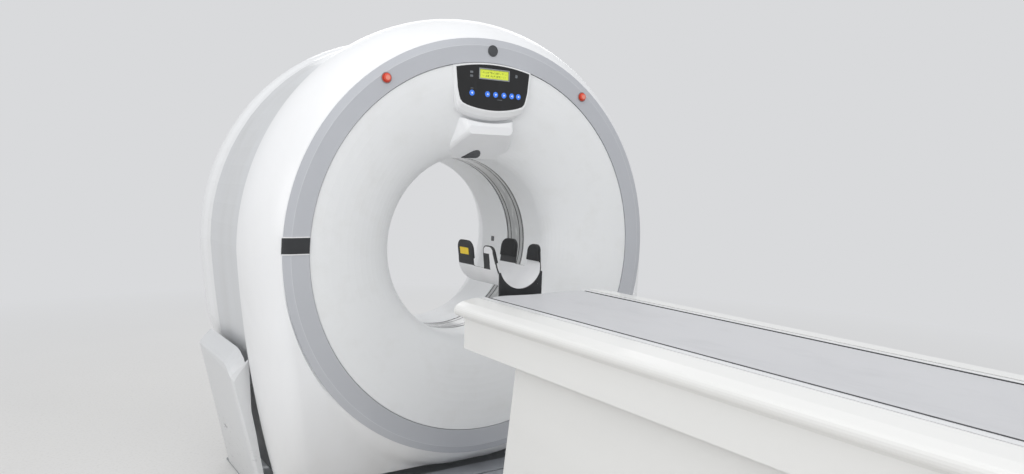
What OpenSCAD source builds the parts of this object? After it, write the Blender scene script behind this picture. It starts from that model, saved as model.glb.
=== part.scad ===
// CT scanner: tilting ring gantry between two floor pedestals, with a lifting patient table.
// Lengths are in millimetres. The origin is on the floor below the centre of the scan plane.
// Inside in_gantry() the frame is the gantry's own: x to the right, y into the bore from the
// front plane of the trim ring, z up from the isocentre.

/* [Bore] */
// Radius of the patient bore
bore_r = 350; // [300:1:400]
// Height of the isocentre above the floor
iso_height = 910; // [900:1:960]
// Depth of the scan plane behind the front plane of the trim ring
scan_plane = 335; // [325:1:345]
// Depth at which the funnel meets the straight bore
throat_depth = 154; // [140:1:165]
// Depth at which the rear funnel starts
liner_end = 606; // [596:1:620]
// Wall of the bore liner and the funnels
liner_wall = 4; // [3:0.5:5]
// Width of the clear scan window
window_w = 132; // [100:1:140]
// Width of each dark seal strip in the liner
seal_w = 6; // [4:1:9]

/* [Front of the gantry] */
// Radius of the round part of the front cover
gantry_r = 872; // [862:1:880]
// Outer radius of the grey trim ring
ring_r = 780; // [765:1:790]
// Radial width of the trim ring
ring_w = 88; // [70:1:95]
// Radial width of the outer bevel of the trim ring
ring_bevel = 26; // [15:1:35]
// Depth of the front cover, from the trim ring's front plane to its rim
cover_depth = 215; // [205:1:222]
// Wall of the moulded covers
cover_wall = 6; // [4:0.5:8]
// Inward lean of the cover's sides, as a slope, at the height of the isocentre
side_lean = 0.06; // [0.03:0.01:0.08]
// How far the sides bow inward further down, in 1/mm
side_bow = 0.000125; // [0.0001:0.000005:0.00014]
// Drop of the front cover's lower edge below the isocentre
cover_drop = 850; // [840:1:856]
// Radius at which the lower front panel rolls back
roll_r = 745; // [700:5:800]
// Rounding of the lower front panel into the sides
edge_w = 105; // [80:1:120]

/* [Side and rear covers] */
// Inset of the side shell behind the front cover's rim
shell_inset = 27; // [22:1:34]
// Depth at which the rear cover starts
rear_start = 702; // [690:1:712]
// Radius of the rear cover at its widest
rear_r = 862; // [855:1:868]
// Overall depth of the gantry
gantry_depth = 922; // [900:1:940]
// Radius of the rear opening
rear_mouth_r = 520; // [500:1:540]

/* [Control panel] */
// Half width of the control panel at its top
panel_half_w = 160; // [140:1:170]
// Height of the panel's lower edge above the isocentre, at its middle
panel_low = 516; // [505:1:530]
// How far the panel's face stands in front of the trim ring
panel_proud = 12; // [8:1:16]
// Radius of the round panel buttons
button_r = 7.5; // [6:0.5:8.5]
// Height of the panel buttons above the isocentre
button_z = 575; // [565:1:585]
// Travel of a panel button
button_travel = 1; // [0.6:0.1:1.4]
// Width of the display
display_w = 126; // [100:1:140]
// Height of the display
display_h = 33; // [24:1:38]
// Radius of an emergency stop button
stop_r = 13; // [11:0.5:14]
// Angle of each emergency stop button from straight up
stop_angle = 35.4; // [32:0.2:39]
// Travel of an emergency stop button
stop_travel = 4; // [3:0.5:5]

/* [Tilt] */
// Depth of the tilt axis behind the trim ring's front plane
pivot_y = 315; // [305:1:325]
// Drop of the tilt axis below the isocentre
pivot_drop = 480; // [470:1:484]
// Tilt of the gantry each way, in degrees
tilt_max = 30; // [20:1:30]
// Clearance under the gantry at full tilt
tilt_clear = 10; // [9:1:14]
// Radius of the trunnion pins
pin_r = 20; // [16:1:22]
// Radial clearance of the trunnion pins
pin_fit = 0.05; // [0.02:0.01:0.1]
// Thickness of the floor plate
plate_t = 6; // [4:1:7]
// How far the pedestals' shoulders stand outside the round part of the front cover
shoulder_out = 16; // [10:1:24]
// Inward taper of a pedestal's outer side, from its shoulder to the floor
foot_taper = 111; // [98:1:114]
// Front end of the pedestals
pedestal_front = 240; // [236:1:250]
// Rear end of the pedestals
pedestal_rear = 740; // [700:1:745]
// Narrowing of the rear cover beside the pedestals
rear_waist = 40; // [36:1:50]
// Wall of the pedestal covers
pedestal_wall = 4; // [3:0.5:5]

/* [Rotor] */
// Outer radius of the rotor
rotor_r = 720; // [715:1:740]
// Thickness of the rotor plate
rotor_t = 22; // [16:1:26]
// Depth of the rotor plate's front face
rotor_y = 438; // [436:1:442]
// Inner radius of the rotor
rotor_bore = 378; // [370:1:384]
// Radius of the bearing gap
bearing_r = 450; // [440:1:460]
// Thickness of the rolling bearing along the axis
bearing_t = 44; // [38:1:48]
// Radius of the rotor's belt rim
belt_rim_r = 600; // [580:1:620]
// Radius of the motor pulley
pulley_r = 50; // [40:1:60]
// Distance of the X-ray focus above the isocentre
focus_z = 541; // [535:1:560]
// Distance from the focus to the face of the detector
detector_r = 949; // [940:1:960]
// Half angle of the detector arc
detector_half = 27; // [24:1:28]
// Radius of the X-ray tube housing
tube_r = 86; // [78:1:90]

/* [Table] */
// Half width of the table top over its rounded rails
top_half_w = 345; // [335:1:350]
// Drop of the mattress edge below the isocentre
mattress_drop = 124; // [120:1:130]
// Half width of the mattress
mattress_half_w = 200; // [180:1:205]
// Thickness of the mattress
mattress_t = 15; // [10:1:18]
// Half width of the cradle
cradle_half_w = 228; // [220:1:230]
// Depth of the trough in the cradle and mattress
trough_depth = 16; // [10:1:20]
// Length of the table top
top_length = 2270; // [2200:10:2400]
// Distance of the middle of the table's front end from the trim ring's front plane
top_front = 282; // [280:1:300]
// Radius of the bowed front end, seen from above
bow_r = 840; // [700:10:1000]
// Half width of the apron below the rails
apron_half_w = 323; // [318:1:326]
// Drop of the apron's lower edge below the isocentre
apron_drop = 272; // [270:1:276]
// Setback of the apron's end behind the rail's front end
apron_setback = 54; // [40:1:70]
// Wall of the table covers
table_wall = 6; // [4:0.5:8]
// Half width of the skirt that hangs below the table top
skirt_half_w = 285; // [275:1:290]
// Front of that skirt at its top
skirt_front = 630; // [620:1:645]
// Length of the table base
base_length = 1420; // [1300:10:1500]
// Downward travel of the table top
lift_travel = 270; // [200:5:275]
// Running gap between sliding faces
run_gap = 0.4; // [0.3:0.1:0.8]

/* [Head holder] */
// Inner radius of the head trough
head_r = 86; // [80:1:90]
// Wall of the head trough
head_wall = 7; // [5:0.5:9]
// Drop of the trough's centre line below the isocentre
head_drop = 43; // [38:1:48]
// Gantry end of the head holder behind the trim ring's front plane
head_end = 55; // [40:1:58]
// Length of the head holder
head_length = 275; // [250:1:290]
// Height of the ears above the trough's centre line
ear_h = 72; // [60:1:76]

/* [Hidden] */

// Smoothness of round faces
fine = 128;
// Far enough to cut right through anything
far = 3000;
// Overlap that makes a cut pass a face
skin = 1;

// Outer half widths over the pedestals, at the shoulder and at the floor
pedestal_half_w = gantry_r + shoulder_out;
pedestal_foot = pedestal_half_w - foot_taper;

// Front planes
ring_t = 9;
flange_y = 10;
flange_t = 6;
ring_inner_r = ring_r - ring_w;
rim_y = cover_depth - 15;
// Radius and centre of the arc that rounds the front cover from the ring to its rim
bowl_w = gantry_r - ring_r;
bowl_d = rim_y - flange_y;
bowl_r = (bowl_w * bowl_w + bowl_d * bowl_d) / (2 * bowl_w);
bowl_centre = gantry_r - bowl_r;
// Depth below the isocentre at which the lower front panel starts to roll back
roll_start = 400;
panel_face_y = 2;
// Largest distance that the tilting body reaches from the tilt axis, on its underside
sweep_r = iso_height - pivot_drop - tilt_clear;
shell_r = gantry_r - shell_inset;

// Rotor stack along the axis
bearing_y = rotor_y + rotor_t;
frame_y = bearing_y + bearing_t;
frame_t = 34;
belt_w = 30;
belt_y = bearing_y + 5;
belt_t = 5;
motor_angle = -32;
motor_reach = belt_rim_r + 75;
sleeve_t = 10;
slip_y = frame_y + frame_t + 6;
slip_w = 44;
slip_r = bearing_r - 25;
rotor_front = 226;

// Table heights, all below the isocentre
cradle_top = mattress_drop + 3;
cradle_bottom = mattress_drop + 64;
slide_top = cradle_bottom + run_gap;
slide_t = 48;
lift_top = slide_top + slide_t + run_gap;
lift_t = 46;
skirt_top = apron_drop - 14;
skirt_bottom = iso_height - lift_travel - 12;
base_top = skirt_bottom - 20;
pillar_wall = 10;
pillar_step = pillar_wall + run_gap;
pillar_half_w = [for (i = [0:2]) 112 - i * pillar_step];
pillar_half_l = [for (i = [0:2]) 200 - i * pillar_step];
base_mid_y = -skirt_front - base_length / 2;
base_half_w = skirt_half_w - 12;
base_rear = -skirt_front - base_length + 24;
base_front = -skirt_front;
shell_end = -top_front - top_length;

// Panel button places along x, from the photograph
button_x = [-93, -26, 9, 46, 81, 111];
stop_x = (ring_r - ring_w / 2) * sin(stop_angle);
stop_z = (ring_r - ring_w / 2) * cos(stop_angle);

white = "whitesmoke";
steel = "slategray";

module in_gantry() {
    translate([0, -scan_plane, iso_height]) children();
}

// Turns a shape made about Z so that its axis is the bore's, with Z becoming +Y
module around_bore() {
    rotate([-90, 0, 0]) children();
}

module along_y(y0, y1) {
    translate([0, y1, 0]) rotate([90, 0, 0]) linear_extrude(y1 - y0) children();
}

module along_x(x0, x1) {
    translate([x0, 0, 0]) rotate([90, 0, 90]) linear_extrude(x1 - x0) children();
}

module tube_y(r, inner, y0, y1) {
    around_bore() translate([0, 0, y0]) difference() {
        cylinder(h = y1 - y0, r = r, $fn = fine);
        translate([0, 0, -skin]) cylinder(h = y1 - y0 + 2 * skin, r = inner, $fn = fine);
    }
}

module rod_y(x, z, r, y0, y1) {
    translate([x, y0, z]) rotate([-90, 0, 0]) cylinder(h = y1 - y0, r = r, $fn = 64);
}

module block(x0, x1, y0, y1, z0, z1) {
    translate([x0, y0, z0]) cube([x1 - x0, y1 - y0, z1 - z0]);
}

// Outline of the covers seen from the front
function side_x(r, z) = r + side_lean * z - side_bow * z * z;

// Narrowing of the rear cover at height z, full below the pedestals' shoulders
function waist_at(z) = let (t = min(1, max(0, (-z - 330) / 150))) t * t * (3 - 2 * t);

function waisted(r, z, waist) = side_x(r, z) - waist * waist_at(z);

function outline(r, drop, waist = 0, arcs = 36, sides = 9, base = 8) = let (
        foot = waisted(r, -drop, waist)) concat(
    [for (i = [0:arcs]) [r * cos(180 * i / arcs), r * sin(180 * i / arcs)]],
    [for (i = [1:sides]) [-waisted(r, -drop * i / sides, waist), -drop * i / sides]],
    [for (i = [1:base - 1]) [-foot + 2 * foot * i / base, -drop]],
    [for (i = [sides:-1:1]) [waisted(r, -drop * i / sides, waist), -drop * i / sides]]);

// A circle with one point on the ray through each point of an outline
function matched_circle(r, points) = [for (p = points) r / norm(p) * p];

// Lowest reach of the tilting body at depth y, so that it clears the floor at full tilt
function keel(y) = pivot_drop + (sweep_r - abs(y - pivot_y) * sin(tilt_max)) / cos(tilt_max);

// Least depth that clears the floor at full forward tilt, at height z
function clear_y(z) = pivot_y - (sweep_r - (-z - pivot_drop) * cos(tilt_max)) / sin(tilt_max);

function bowl_y(r) = r <= ring_r ? flange_y : r >= gantry_r ? rim_y :
    rim_y - sqrt(bowl_r * bowl_r - (r - bowl_centre) * (r - bowl_centre));

function panel_y(z) = -z < roll_start ? panel_face_y :
    panel_face_y + pow(-z - roll_start, 2) / (2 * roll_r);

function edge_y(x, z) = let (e = min(1, max(0, 1 - (side_x(gantry_r, z) - abs(x)) / edge_w)))
    panel_y(z) + (rim_y - panel_y(z)) * (1 - sqrt(1 - e * e));

// The smaller of two depths, rounded off over the band k where they meet
function soft_min(a, b, k) = min(a, b) - pow(max(0, k - abs(a - b)), 2) / (4 * k);

function cover_y(x, z) = let (
        bowl = bowl_y(norm([x, z])),
        t = min(1, max(0, -z / 300)),
        share = t * t * (3 - 2 * t),
        front = bowl + (soft_min(bowl, z < 0 ? edge_y(x, z) : bowl, 14) - bowl) * share)
    min(rim_y, -soft_min(-front, -clear_y(z), 12));

// Closed skin through a list of rings that have the same number of points, first to last to first
module skin_of(rings) {
    n = len(rings[0]);
    k = len(rings);
    polyhedron(
        points = [for (ring = rings) each ring],
        faces = [for (j = [0:k - 1], i = [0:n - 1]) each [
            [j * n + i, j * n + (i + 1) % n, ((j + 1) % k) * n + i],
            [j * n + (i + 1) % n, ((j + 1) % k) * n + (i + 1) % n, ((j + 1) % k) * n + i]
        ]],
        convexity = 8);
}

function flat_ring(points, y) = [for (p = points) [p[0], y, p[1]]];

function blend_ring(inner, outer, u, lift) = [for (i = [0:len(inner) - 1])
    let (p = inner[i] + (outer[i] - inner[i]) * u) [p[0], cover_y(p[0], p[1]) + lift, p[1]]];

// Floor parts

module base_plate() {
    front = pivot_y - 75;
    rear = front + 490;
    half_w = pedestal_foot - 1;
    color(steel) in_gantry() difference() {
        union() {
            block(-half_w, half_w, front, pedestal_rear - 1, -iso_height, -iso_height + plate_t);
            block(-250, 250, base_front, front + skin, -iso_height, -iso_height + plate_t);
        }
        for (x = [-600, 600], y = [front + 60, rear - 60])
            translate([x, y, -iso_height - skin]) cylinder(h = plate_t + 2 * skin, r = 9, $fn = 48);
    }
}

// Inner edge of a pedestal at height z, clear of the covers as they tilt
function pedestal_inner(z) = side_x(gantry_r, z) + 6
    + min(22, max(0, 0.12 * (-z - pivot_drop + 80))) + max(0, 0.08 * (-z - pivot_drop - 280));

// Inner edge of its front wall, which stands closer behind the rim of the front cover
function pedestal_front_edge(z) = min(
    gantry_r - 50 + 0.045 * (z + pivot_drop - 80),
    side_x(gantry_r, z + 55) + 6 + max(0, 0.05 * (-z - pivot_drop - 170)));

pedestal_roof = 342;
shoulder_drop = 408;

// Section of a pedestal across the bore, lowered and drawn in towards its rounded ends
module pedestal_section(drop, inset, wall) {
    low = -iso_height + plate_t - (wall > 0 ? skin : 0);
    polygon([
        [gantry_r - 47, -pedestal_roof - drop - wall],
        [pedestal_half_w - 8 - inset - wall, -shoulder_drop + 14 - drop - wall],
        [pedestal_half_w - inset - wall, -shoulder_drop - drop - wall / 2],
        [pedestal_foot - inset - wall, low],
        [pedestal_foot - 100, low]
    ]);
}

// Stations along a pedestal: depth, lowering of the roof, drawing in of the outer side
pedestal_stations = [
    [pedestal_front, 52, 14], [pedestal_front + 7, 38, 5], [pedestal_front + 20, 24, 0],
    [pedestal_front + 48, 8, 0], [pedestal_front + 84, 0, 0], [pedestal_rear - 46, 0, 0],
    [pedestal_rear - 14, 3, 6], [pedestal_rear, 14, 20]];

module pedestal_body(wall) {
    last = len(pedestal_stations) - 1;
    hull() for (i = [0:last]) let (
            s = pedestal_stations[i],
            y = min(pedestal_rear - wall - 0.1, max(pedestal_front + wall, s[0])))
        along_y(y, y + 0.1) pedestal_section(s[1], s[2], wall);
}

module pedestal_cover() {
    w = pedestal_wall;
    z_top = -pedestal_roof + 20;
    z_low = -iso_height + plate_t - skin;
    heights = [for (i = [0:14]) z_top + (z_low - z_top) * i / 14];
    in_gantry() difference() {
        pedestal_body(0);
        pedestal_body(w);
        // Open towards the gantry
        along_y(pedestal_front + w, pedestal_rear + skin) polygon(concat(
            [[pedestal_foot - 200, z_low], [pedestal_foot - 200, z_top]],
            [for (z = heights) [pedestal_inner(z), z]]));
        along_y(pedestal_front - skin, pedestal_front + w + skin) polygon(concat(
            [[pedestal_foot - 200, z_low], [pedestal_foot - 200, z_top]],
            [for (z = heights) [pedestal_front_edge(z), z]]));
        // Latch slot in the outer side
        translate([pedestal_half_w - 80, pedestal_rear - 200, -iso_height + 190]) cube([60, 46, 12]);
    }
}

module post() {
    // Steel upright with the trunnion bearing at its head
    z0 = -iso_height + plate_t;
    top = -pivot_drop + 20;
    in_gantry() difference() {
        union() {
            along_y(pivot_y - 50, pivot_y + 190) polygon([
                [pedestal_half_w - 56, top], [pedestal_half_w - 26, top],
                [pedestal_foot - 9, z0], [pedestal_foot - 17, z0]
            ]);
            translate([pedestal_half_w - 58, pivot_y, -pivot_drop]) rotate([0, 90, 0])
                cylinder(h = 28, r = pin_r + 15, $fn = 96);
        }
        translate([pedestal_half_w - 90, pivot_y, -pivot_drop]) rotate([0, 90, 0])
            cylinder(h = 120, r = pin_r + pin_fit, $fn = 96);
    }
}

module left_post() {
    color(steel) mirror([1, 0, 0]) post();
}

module right_post() {
    color(steel) post();
}

module left_pedestal_cover() {
    color("gainsboro") mirror([1, 0, 0]) pedestal_cover();
}

module right_pedestal_cover() {
    color("gainsboro") pedestal_cover();
}

plinth_h = 34;
seal_y = 15;
// Front wall of the middle skirt: its lean, and the depth of its foot
front_slope = 0.16;
skirt_toe = -skirt_front + front_slope * (skirt_bottom - skirt_top);

module floor_plinth() {
    color("lightsteelblue") in_gantry()
        along_x(-235, 235) polygon([
            [seal_y + 5, -iso_height + plate_t],
            [seal_y + 5, -iso_height + plinth_h],
            [118, -iso_height + plinth_h],
            [150, -iso_height + plate_t]
        ]);
}

module plinth_seal() {
    color("black") in_gantry()
        block(-230, 230, seal_y - 5, seal_y + 5, -iso_height + plate_t, -iso_height + plinth_h - 3);
}

module docking_cover() {
    color("lightsteelblue") in_gantry()
        block(-235, 235, skirt_toe + 8, seal_y - 5, -iso_height + plate_t, -iso_height + plinth_h);
}

module pillar_tube(stage, drop_top, drop_bottom) {
    w = pillar_half_w[stage];
    l = pillar_half_l[stage];
    difference() {
        block(-w, w, base_mid_y - l, base_mid_y + l, -drop_bottom, -drop_top);
        block(-w + pillar_wall, w - pillar_wall, base_mid_y - l + pillar_wall,
              base_mid_y + l - pillar_wall, -drop_bottom - skin, -drop_top + skin);
    }
}

// Tops of the pillar's outer and middle tubes; the middle one makes half of the table top's travel
stack_gap = 4;
middle_top = lift_top + lift_t + stack_gap + lift_travel / 2;
outer_top = middle_top + lift_travel / 2 + stack_gap;
base_floor_t = 14;

module table_base() {
    w = table_wall / 2;
    color(steel) in_gantry() {
        difference() {
            block(-base_half_w + w, base_half_w - w, base_rear + w, base_front - w,
                  -iso_height, -iso_height + base_floor_t);
            for (x = [-230, 230], y = [-skirt_front - base_length + 80, -skirt_front - 30])
                translate([x, y, -iso_height - skin]) cylinder(h = base_floor_t + 2 * skin, r = 9, $fn = 48);
        }
        pillar_tube(0, outer_top, iso_height - base_floor_t);
    }
}

module skirt_box(half_w, y0, y1, drop_top, drop_bottom, slope) {
    // Open box of sheet; its front wall leans forward by slope towards the floor
    w = table_wall / 2;
    h = drop_bottom - drop_top;
    difference() {
        along_x(-half_w, half_w) polygon([
            [y0, -drop_bottom], [y1 + slope * h, -drop_bottom], [y1, -drop_top], [y0, -drop_top]
        ]);
        along_x(-half_w + w, half_w - w) polygon([
            [y0 + w, -drop_bottom - skin], [y1 + slope * (h + skin) - w, -drop_bottom - skin],
            [y1 - slope * skin - w, -drop_top + skin], [y0 + w, -drop_top + skin]
        ]);
    }
}

module base_skirt() {
    color("gainsboro") in_gantry()
        skirt_box(base_half_w, base_rear, base_front, base_top, iso_height - 1, 0);
}

// Tilting body

// Half width of the steel frame inside the side shell, and the outer face of its side cheeks
function frame_half_w(z) = side_x(shell_r, z) - cover_wall - 12;

cheek_x = frame_half_w(-pivot_drop) - 29;
cheek_t = 24;

module main_frame() {
    ring_out = shell_r - 50;
    color("dimgray") in_gantry() difference() {
        union() {
            tube_y(ring_out, bearing_r + 20, frame_y, frame_y + frame_t);
            // Lugs that carry the side shell
            intersection() {
                for (a = [15, 50, 90, 130, 165]) rotate([0, -a, 0])
                    block(ring_out - 5, shell_r, frame_y, frame_y + frame_t, -30, 30);
                along_y(frame_y, frame_y + frame_t) polygon(outline(shell_r - cover_wall - 0.02, cover_drop));
            }
            // Lower shoulders that reach out to the trunnions
            along_y(frame_y, frame_y + frame_t) for (s = [-1, 1]) polygon([
                [0, -300], [s * frame_half_w(-480), -300], [s * frame_half_w(-480), -480],
                [s * frame_half_w(-640), -640], [s * frame_half_w(-640) * 0.8, -700], [0, -700]
            ]);
            // Side cheeks that carry the trunnions forward of the plate
            for (s = [-1, 1]) mirror([s < 0 ? 1 : 0, 0, 0])
                along_x(cheek_x - cheek_t, cheek_x) polygon([
                    [pivot_y - 60, -pivot_drop + 60], [pivot_y - 60, -pivot_drop - 60],
                    [frame_y + 1, -640], [frame_y + 1, -320]
                ]);
        }
        translate([0, frame_y - skin, 0]) rotate([-90, 0, 0])
            cylinder(h = frame_t + 2 * skin, r = bearing_r + 20, $fn = fine);
        rod_y(motor_reach * cos(motor_angle), motor_reach * sin(motor_angle), 26, frame_y - 2, frame_y + frame_t + 2);
        // Lightening holes round the plate
        for (a = [20, 60, 120, 160])
            rod_y(650 * cos(a), 650 * sin(a), 70, frame_y - 2, frame_y + frame_t + 2);
    }
}

module trunnions() {
    color("silver") in_gantry() for (s = [0, 1]) mirror([s, 0, 0])
        translate([cheek_x, pivot_y, -pivot_drop]) rotate([0, 90, 0]) {
            cylinder(h = 30, r = pin_r + 22, $fn = 96);
            cylinder(h = pedestal_half_w - 30 - cheek_x, r = pin_r, $fn = 96);
        }
}

module tilt_gearmotor() {
    // Shaft-mounted worm gear unit with its motor, on the inner face of the right cheek
    color("darkslategray") in_gantry() {
        x1 = cheek_x - cheek_t;
        block(x1 - 76, x1, pivot_y - 55, pivot_y + 55, -pivot_drop - 60, -pivot_drop + 60);
        translate([x1 - 40, pivot_y + 15, -pivot_drop - 59]) rotate([180, 0, 0])
            cylinder(h = 150, r = 37, $fn = 64);
    }
}

module front_cover() {
    outer = outline(gantry_r, cover_drop, 0, 48, 12, 10);
    inside = outline(gantry_r - cover_wall, cover_drop - cover_wall, 0, 48, 12, 10);
    edge = matched_circle(ring_r + 1, outer);
    edge_in = matched_circle(ring_r + 1, inside);
    lip = matched_circle(ring_inner_r + 10, outer);
    lip_in = matched_circle(ring_inner_r + 10, inside);
    steps = [0.04, 0.12, 0.21, 0.31, 0.41, 0.51, 0.61, 0.7, 0.78, 0.86, 0.92, 0.97, 1];
    back_steps = [1, 0.95, 0.87, 0.78, 0.68, 0.58, 0.48, 0.38, 0.28, 0.18, 0.08];
    color(white) in_gantry() skin_of(concat(
        [flat_ring(lip, flange_y), flat_ring(edge, flange_y)],
        [for (u = steps) blend_ring(edge, outer, u, 0)],
        [flat_ring(outer, cover_depth), flat_ring(inside, cover_depth)],
        [for (u = back_steps) blend_ring(edge_in, inside, u, cover_wall)],
        [flat_ring(edge_in, flange_y + flange_t), flat_ring(lip_in, flange_y + flange_t)]));
}

module trim_ring() {
    color("darkgray") in_gantry() difference() {
        around_bore() rotate_extrude($fn = fine) polygon([
            [ring_inner_r, 0.6], [ring_inner_r + 0.8, 0], [ring_r - ring_bevel, 0],
            [ring_r - 0.5, 6.5], [ring_r, 7.2], [ring_r, ring_t + 0.6], [ring_inner_r, ring_t + 0.6]
        ]);
        // Holes for the stems of the emergency stop buttons
        for (s = [-1, 1]) rod_y(s * stop_x, stop_z, stem_r + run_gap, -skin, ring_t + 2);
    }
}

funnel_y = 4;
funnel_power = 1.8;

function funnel_curve(r) = let (t = (ring_inner_r - 2 - r) / (ring_inner_r - 2 - bore_r))
    funnel_y + (throat_depth - funnel_y) * (1 - sqrt(max(0, 1 - pow(t, funnel_power))));

function funnel_r(i, n) = let (u = i / n) ring_inner_r - 2 - (ring_inner_r - 2 - bore_r) * (1 - pow(1 - u, 2));

// Point on the back of a skin of thickness w, square to the funnel's surface
function behind(r, w) = let (
        drop = funnel_curve(max(bore_r, r - 0.5)) - funnel_curve(r + 0.5),
        k = w / norm([drop, 1]))
    [r + drop * k, funnel_curve(r) + k];

module funnel() {
    n = 18;
    w = liner_wall;
    rim = ring_inner_r - 2;
    back = flange_y + flange_t + 0.3;
    color(white) in_gantry() around_bore() rotate_extrude($fn = fine) polygon(concat(
        [for (i = [0:n]) [funnel_r(i, n), funnel_curve(funnel_r(i, n))]],
        [[bore_r + w, throat_depth]],
        [for (i = [n - 1:-1:1]) behind(funnel_r(i, n), w)],
        [[rim - 6, funnel_y + w + 0.2], [rim - 6, back + w], [rim + 32, back + w],
         [rim + 32, back], [rim, back]]));
}

module side_shell() {
    y1 = rear_start - 0.4;
    bottom = cover_drop - 4;
    wall = cover_wall;
    color("lightgray") in_gantry() difference() {
        intersection() {
            along_y(cover_depth + 1, y1) polygon(outline(shell_r, bottom));
            along_x(-far, far) polygon([
                [0, far], [0, -bottom], [pivot_y, -keel(pivot_y)],
                [y1 + 100, -keel(y1 + 100)], [y1 + 100, far]
            ]);
        }
        intersection() {
            along_y(cover_depth, y1 + skin) polygon(outline(shell_r - wall, bottom - wall));
            along_x(-far, far) polygon([
                [0, far], [0, -bottom], [pivot_y, -keel(pivot_y) + wall + 4],
                [y1 + 100, -keel(y1 + 100) + wall + 1], [y1 + 100, far]
            ]);
        }
        // Round holes for the trunnions
        translate([-far, pivot_y, -pivot_drop]) rotate([0, 90, 0])
            cylinder(h = 2 * far, r = pin_r + 6, $fn = 64);
    }
}

module rear_cover() {
    w = cover_wall;
    y0 = rear_start;
    stations = [
        [shell_r, y0], [shell_r + 4, y0 + 35], [rear_r - 4, y0 + 62], [rear_r, y0 + 88],
        [rear_r - 3, y0 + 122], [rear_r - 18, y0 + 158], [rear_r - 50, y0 + 188], [rear_r - 105, y0 + 208]
    ];
    function waist(y) = rear_waist * min(1, (y - y0) / 70);
    function drop(y) = min(cover_drop - 4, keel(y));
    last = outline(rear_r - 105, drop(gantry_depth), rear_waist, 36, 9, 14);
    mouth = matched_circle(rear_mouth_r, last);
    color(white) in_gantry() skin_of(concat(
        [for (s = stations) flat_ring(outline(s[0], drop(s[1]), waist(s[1]), 36, 9, 14), s[1])],
        [flat_ring(mouth, gantry_depth), flat_ring(mouth, gantry_depth - w)],
        [for (i = [len(stations) - 1:-1:0]) let (s = stations[i])
            flat_ring(outline(s[0] - w, drop(s[1]) - w, waist(s[1]), 36, 9, 14), s[1] - (i > 3 ? w : 0))]));
}

// Rim of the rear funnel, inside the many-sided mouth of the rear cover
rear_rim_r = rear_mouth_r - 1.6;

// The funnel widens soon enough for the cradle to leave it at full tilt
function rear_r_at(u) = bore_r + (rear_rim_r - 0.6 - bore_r) * pow(u, 1.2);

module rear_funnel() {
    n = 14;
    w = liner_wall;
    span = gantry_depth - w - liner_end;
    color(white) in_gantry() around_bore() rotate_extrude($fn = fine) polygon(concat(
        [for (i = [0:n]) [rear_r_at(i / n), liner_end + span * i / n]],
        [[rear_rim_r, gantry_depth], [rear_rim_r, gantry_depth - 2 * w]],
        [for (i = [n - 1:-1:0]) [rear_r_at(i / n) + w, liner_end + span * i / n]]));
}

window_y = scan_plane - window_w / 2;

module bore_liner() {
    w = liner_wall;
    color(white) in_gantry() {
        tube_y(bore_r + w, bore_r, throat_depth, window_y);
        tube_y(bore_r + w, bore_r, window_y + window_w, liner_end);
    }
}

module scan_window() {
    // Clear plastic band, with grooves that take the four dark seals
    w = liner_wall;
    color("aliceblue") in_gantry() around_bore() rotate_extrude($fn = fine) polygon(concat(
        [[bore_r + w, window_y], [bore_r + w, window_y + window_w]],
        [for (y = seal_places(), e = [1, 0]) each e == 1
            ? [[bore_r, y + seal_w], [bore_r + 2, y + seal_w]]
            : [[bore_r + 2, y], [bore_r, y]]]));
}

function seal_places() = [
    window_y + window_w - seal_w - 5, scan_plane + 30, scan_plane - 30 - seal_w, window_y + 5];

module window_seals() {
    color("black") in_gantry() for (y = seal_places())
        tube_y(bore_r + 2, bore_r + 0.6, y, y + seal_w);
}

function panel_outline(grow) = let (
        top = 683 + grow, half = panel_half_w + grow, low = panel_low - grow, n = 8)
    concat(
        [for (i = [-n:n]) let (x = half * i / n) [x, sqrt(top * top - x * x)]],
        [[half - 8, 590], [half - 14, low + 50], [half - 20, low + 32], [half - 30, low + 22]],
        [for (i = [n - 1:-1:-n + 1]) let (x = (half - 34) * i / n) [x, low + 19 * pow(i / n, 2)]],
        [[-half + 30, low + 22], [-half + 20, low + 32], [-half + 14, low + 50], [-half + 8, 590]]);

// Everything behind the funnel's front surface
module behind_funnel() {
    around_bore() rotate_extrude($fn = fine) polygon(concat(
        [for (i = [0:18]) [funnel_r(i, 18), funnel_curve(funnel_r(i, 18)) - 0.2]],
        [[bore_r - 40, 300], [ring_r, 300], [ring_r, 0]]));
}

// Outline of the panel's housing, whose lower edge sinks by low as the housing deepens
function housing_outline(grow, low) = [for (p = panel_outline(grow))
    [p[0], p[1] - low * min(1, max(0, (panel_low + 84 - p[1]) / 84))]];

module panel_housing() {
    lip = -panel_proud + 1;
    seat = -panel_proud + 5;
    back = 44;
    color(white) in_gantry() difference() {
        skin_of([
            flat_ring(housing_outline(5, 0), lip), flat_ring(housing_outline(7.5, 16), lip + 12),
            flat_ring(housing_outline(6, 28), 16), flat_ring(housing_outline(4, 36), back),
            flat_ring(housing_outline(-6, 0), back), flat_ring(housing_outline(-6, 0), seat),
            flat_ring(housing_outline(0, 0), seat), flat_ring(housing_outline(0, 0), lip)
        ]);
        behind_funnel();
    }
}

module control_panel() {
    color("black") in_gantry() difference() {
        along_y(-panel_proud, -panel_proud + 4.9) polygon(panel_outline(-0.6));
        for (x = button_x) rod_y(x, button_z, button_r + 0.4, -panel_proud - skin, 0);
        block(2 - display_w / 2, 2 + display_w / 2, -panel_proud - skin, 0,
              648 - display_h / 2, 648 + display_h / 2);
    }
}

module display() {
    color("yellowgreen") in_gantry()
        block(2.3 - display_w / 2, 1.7 + display_w / 2, -panel_proud + 1, -panel_proud + 7,
              648.3 - display_h / 2, 647.7 + display_h / 2);
}

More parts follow.
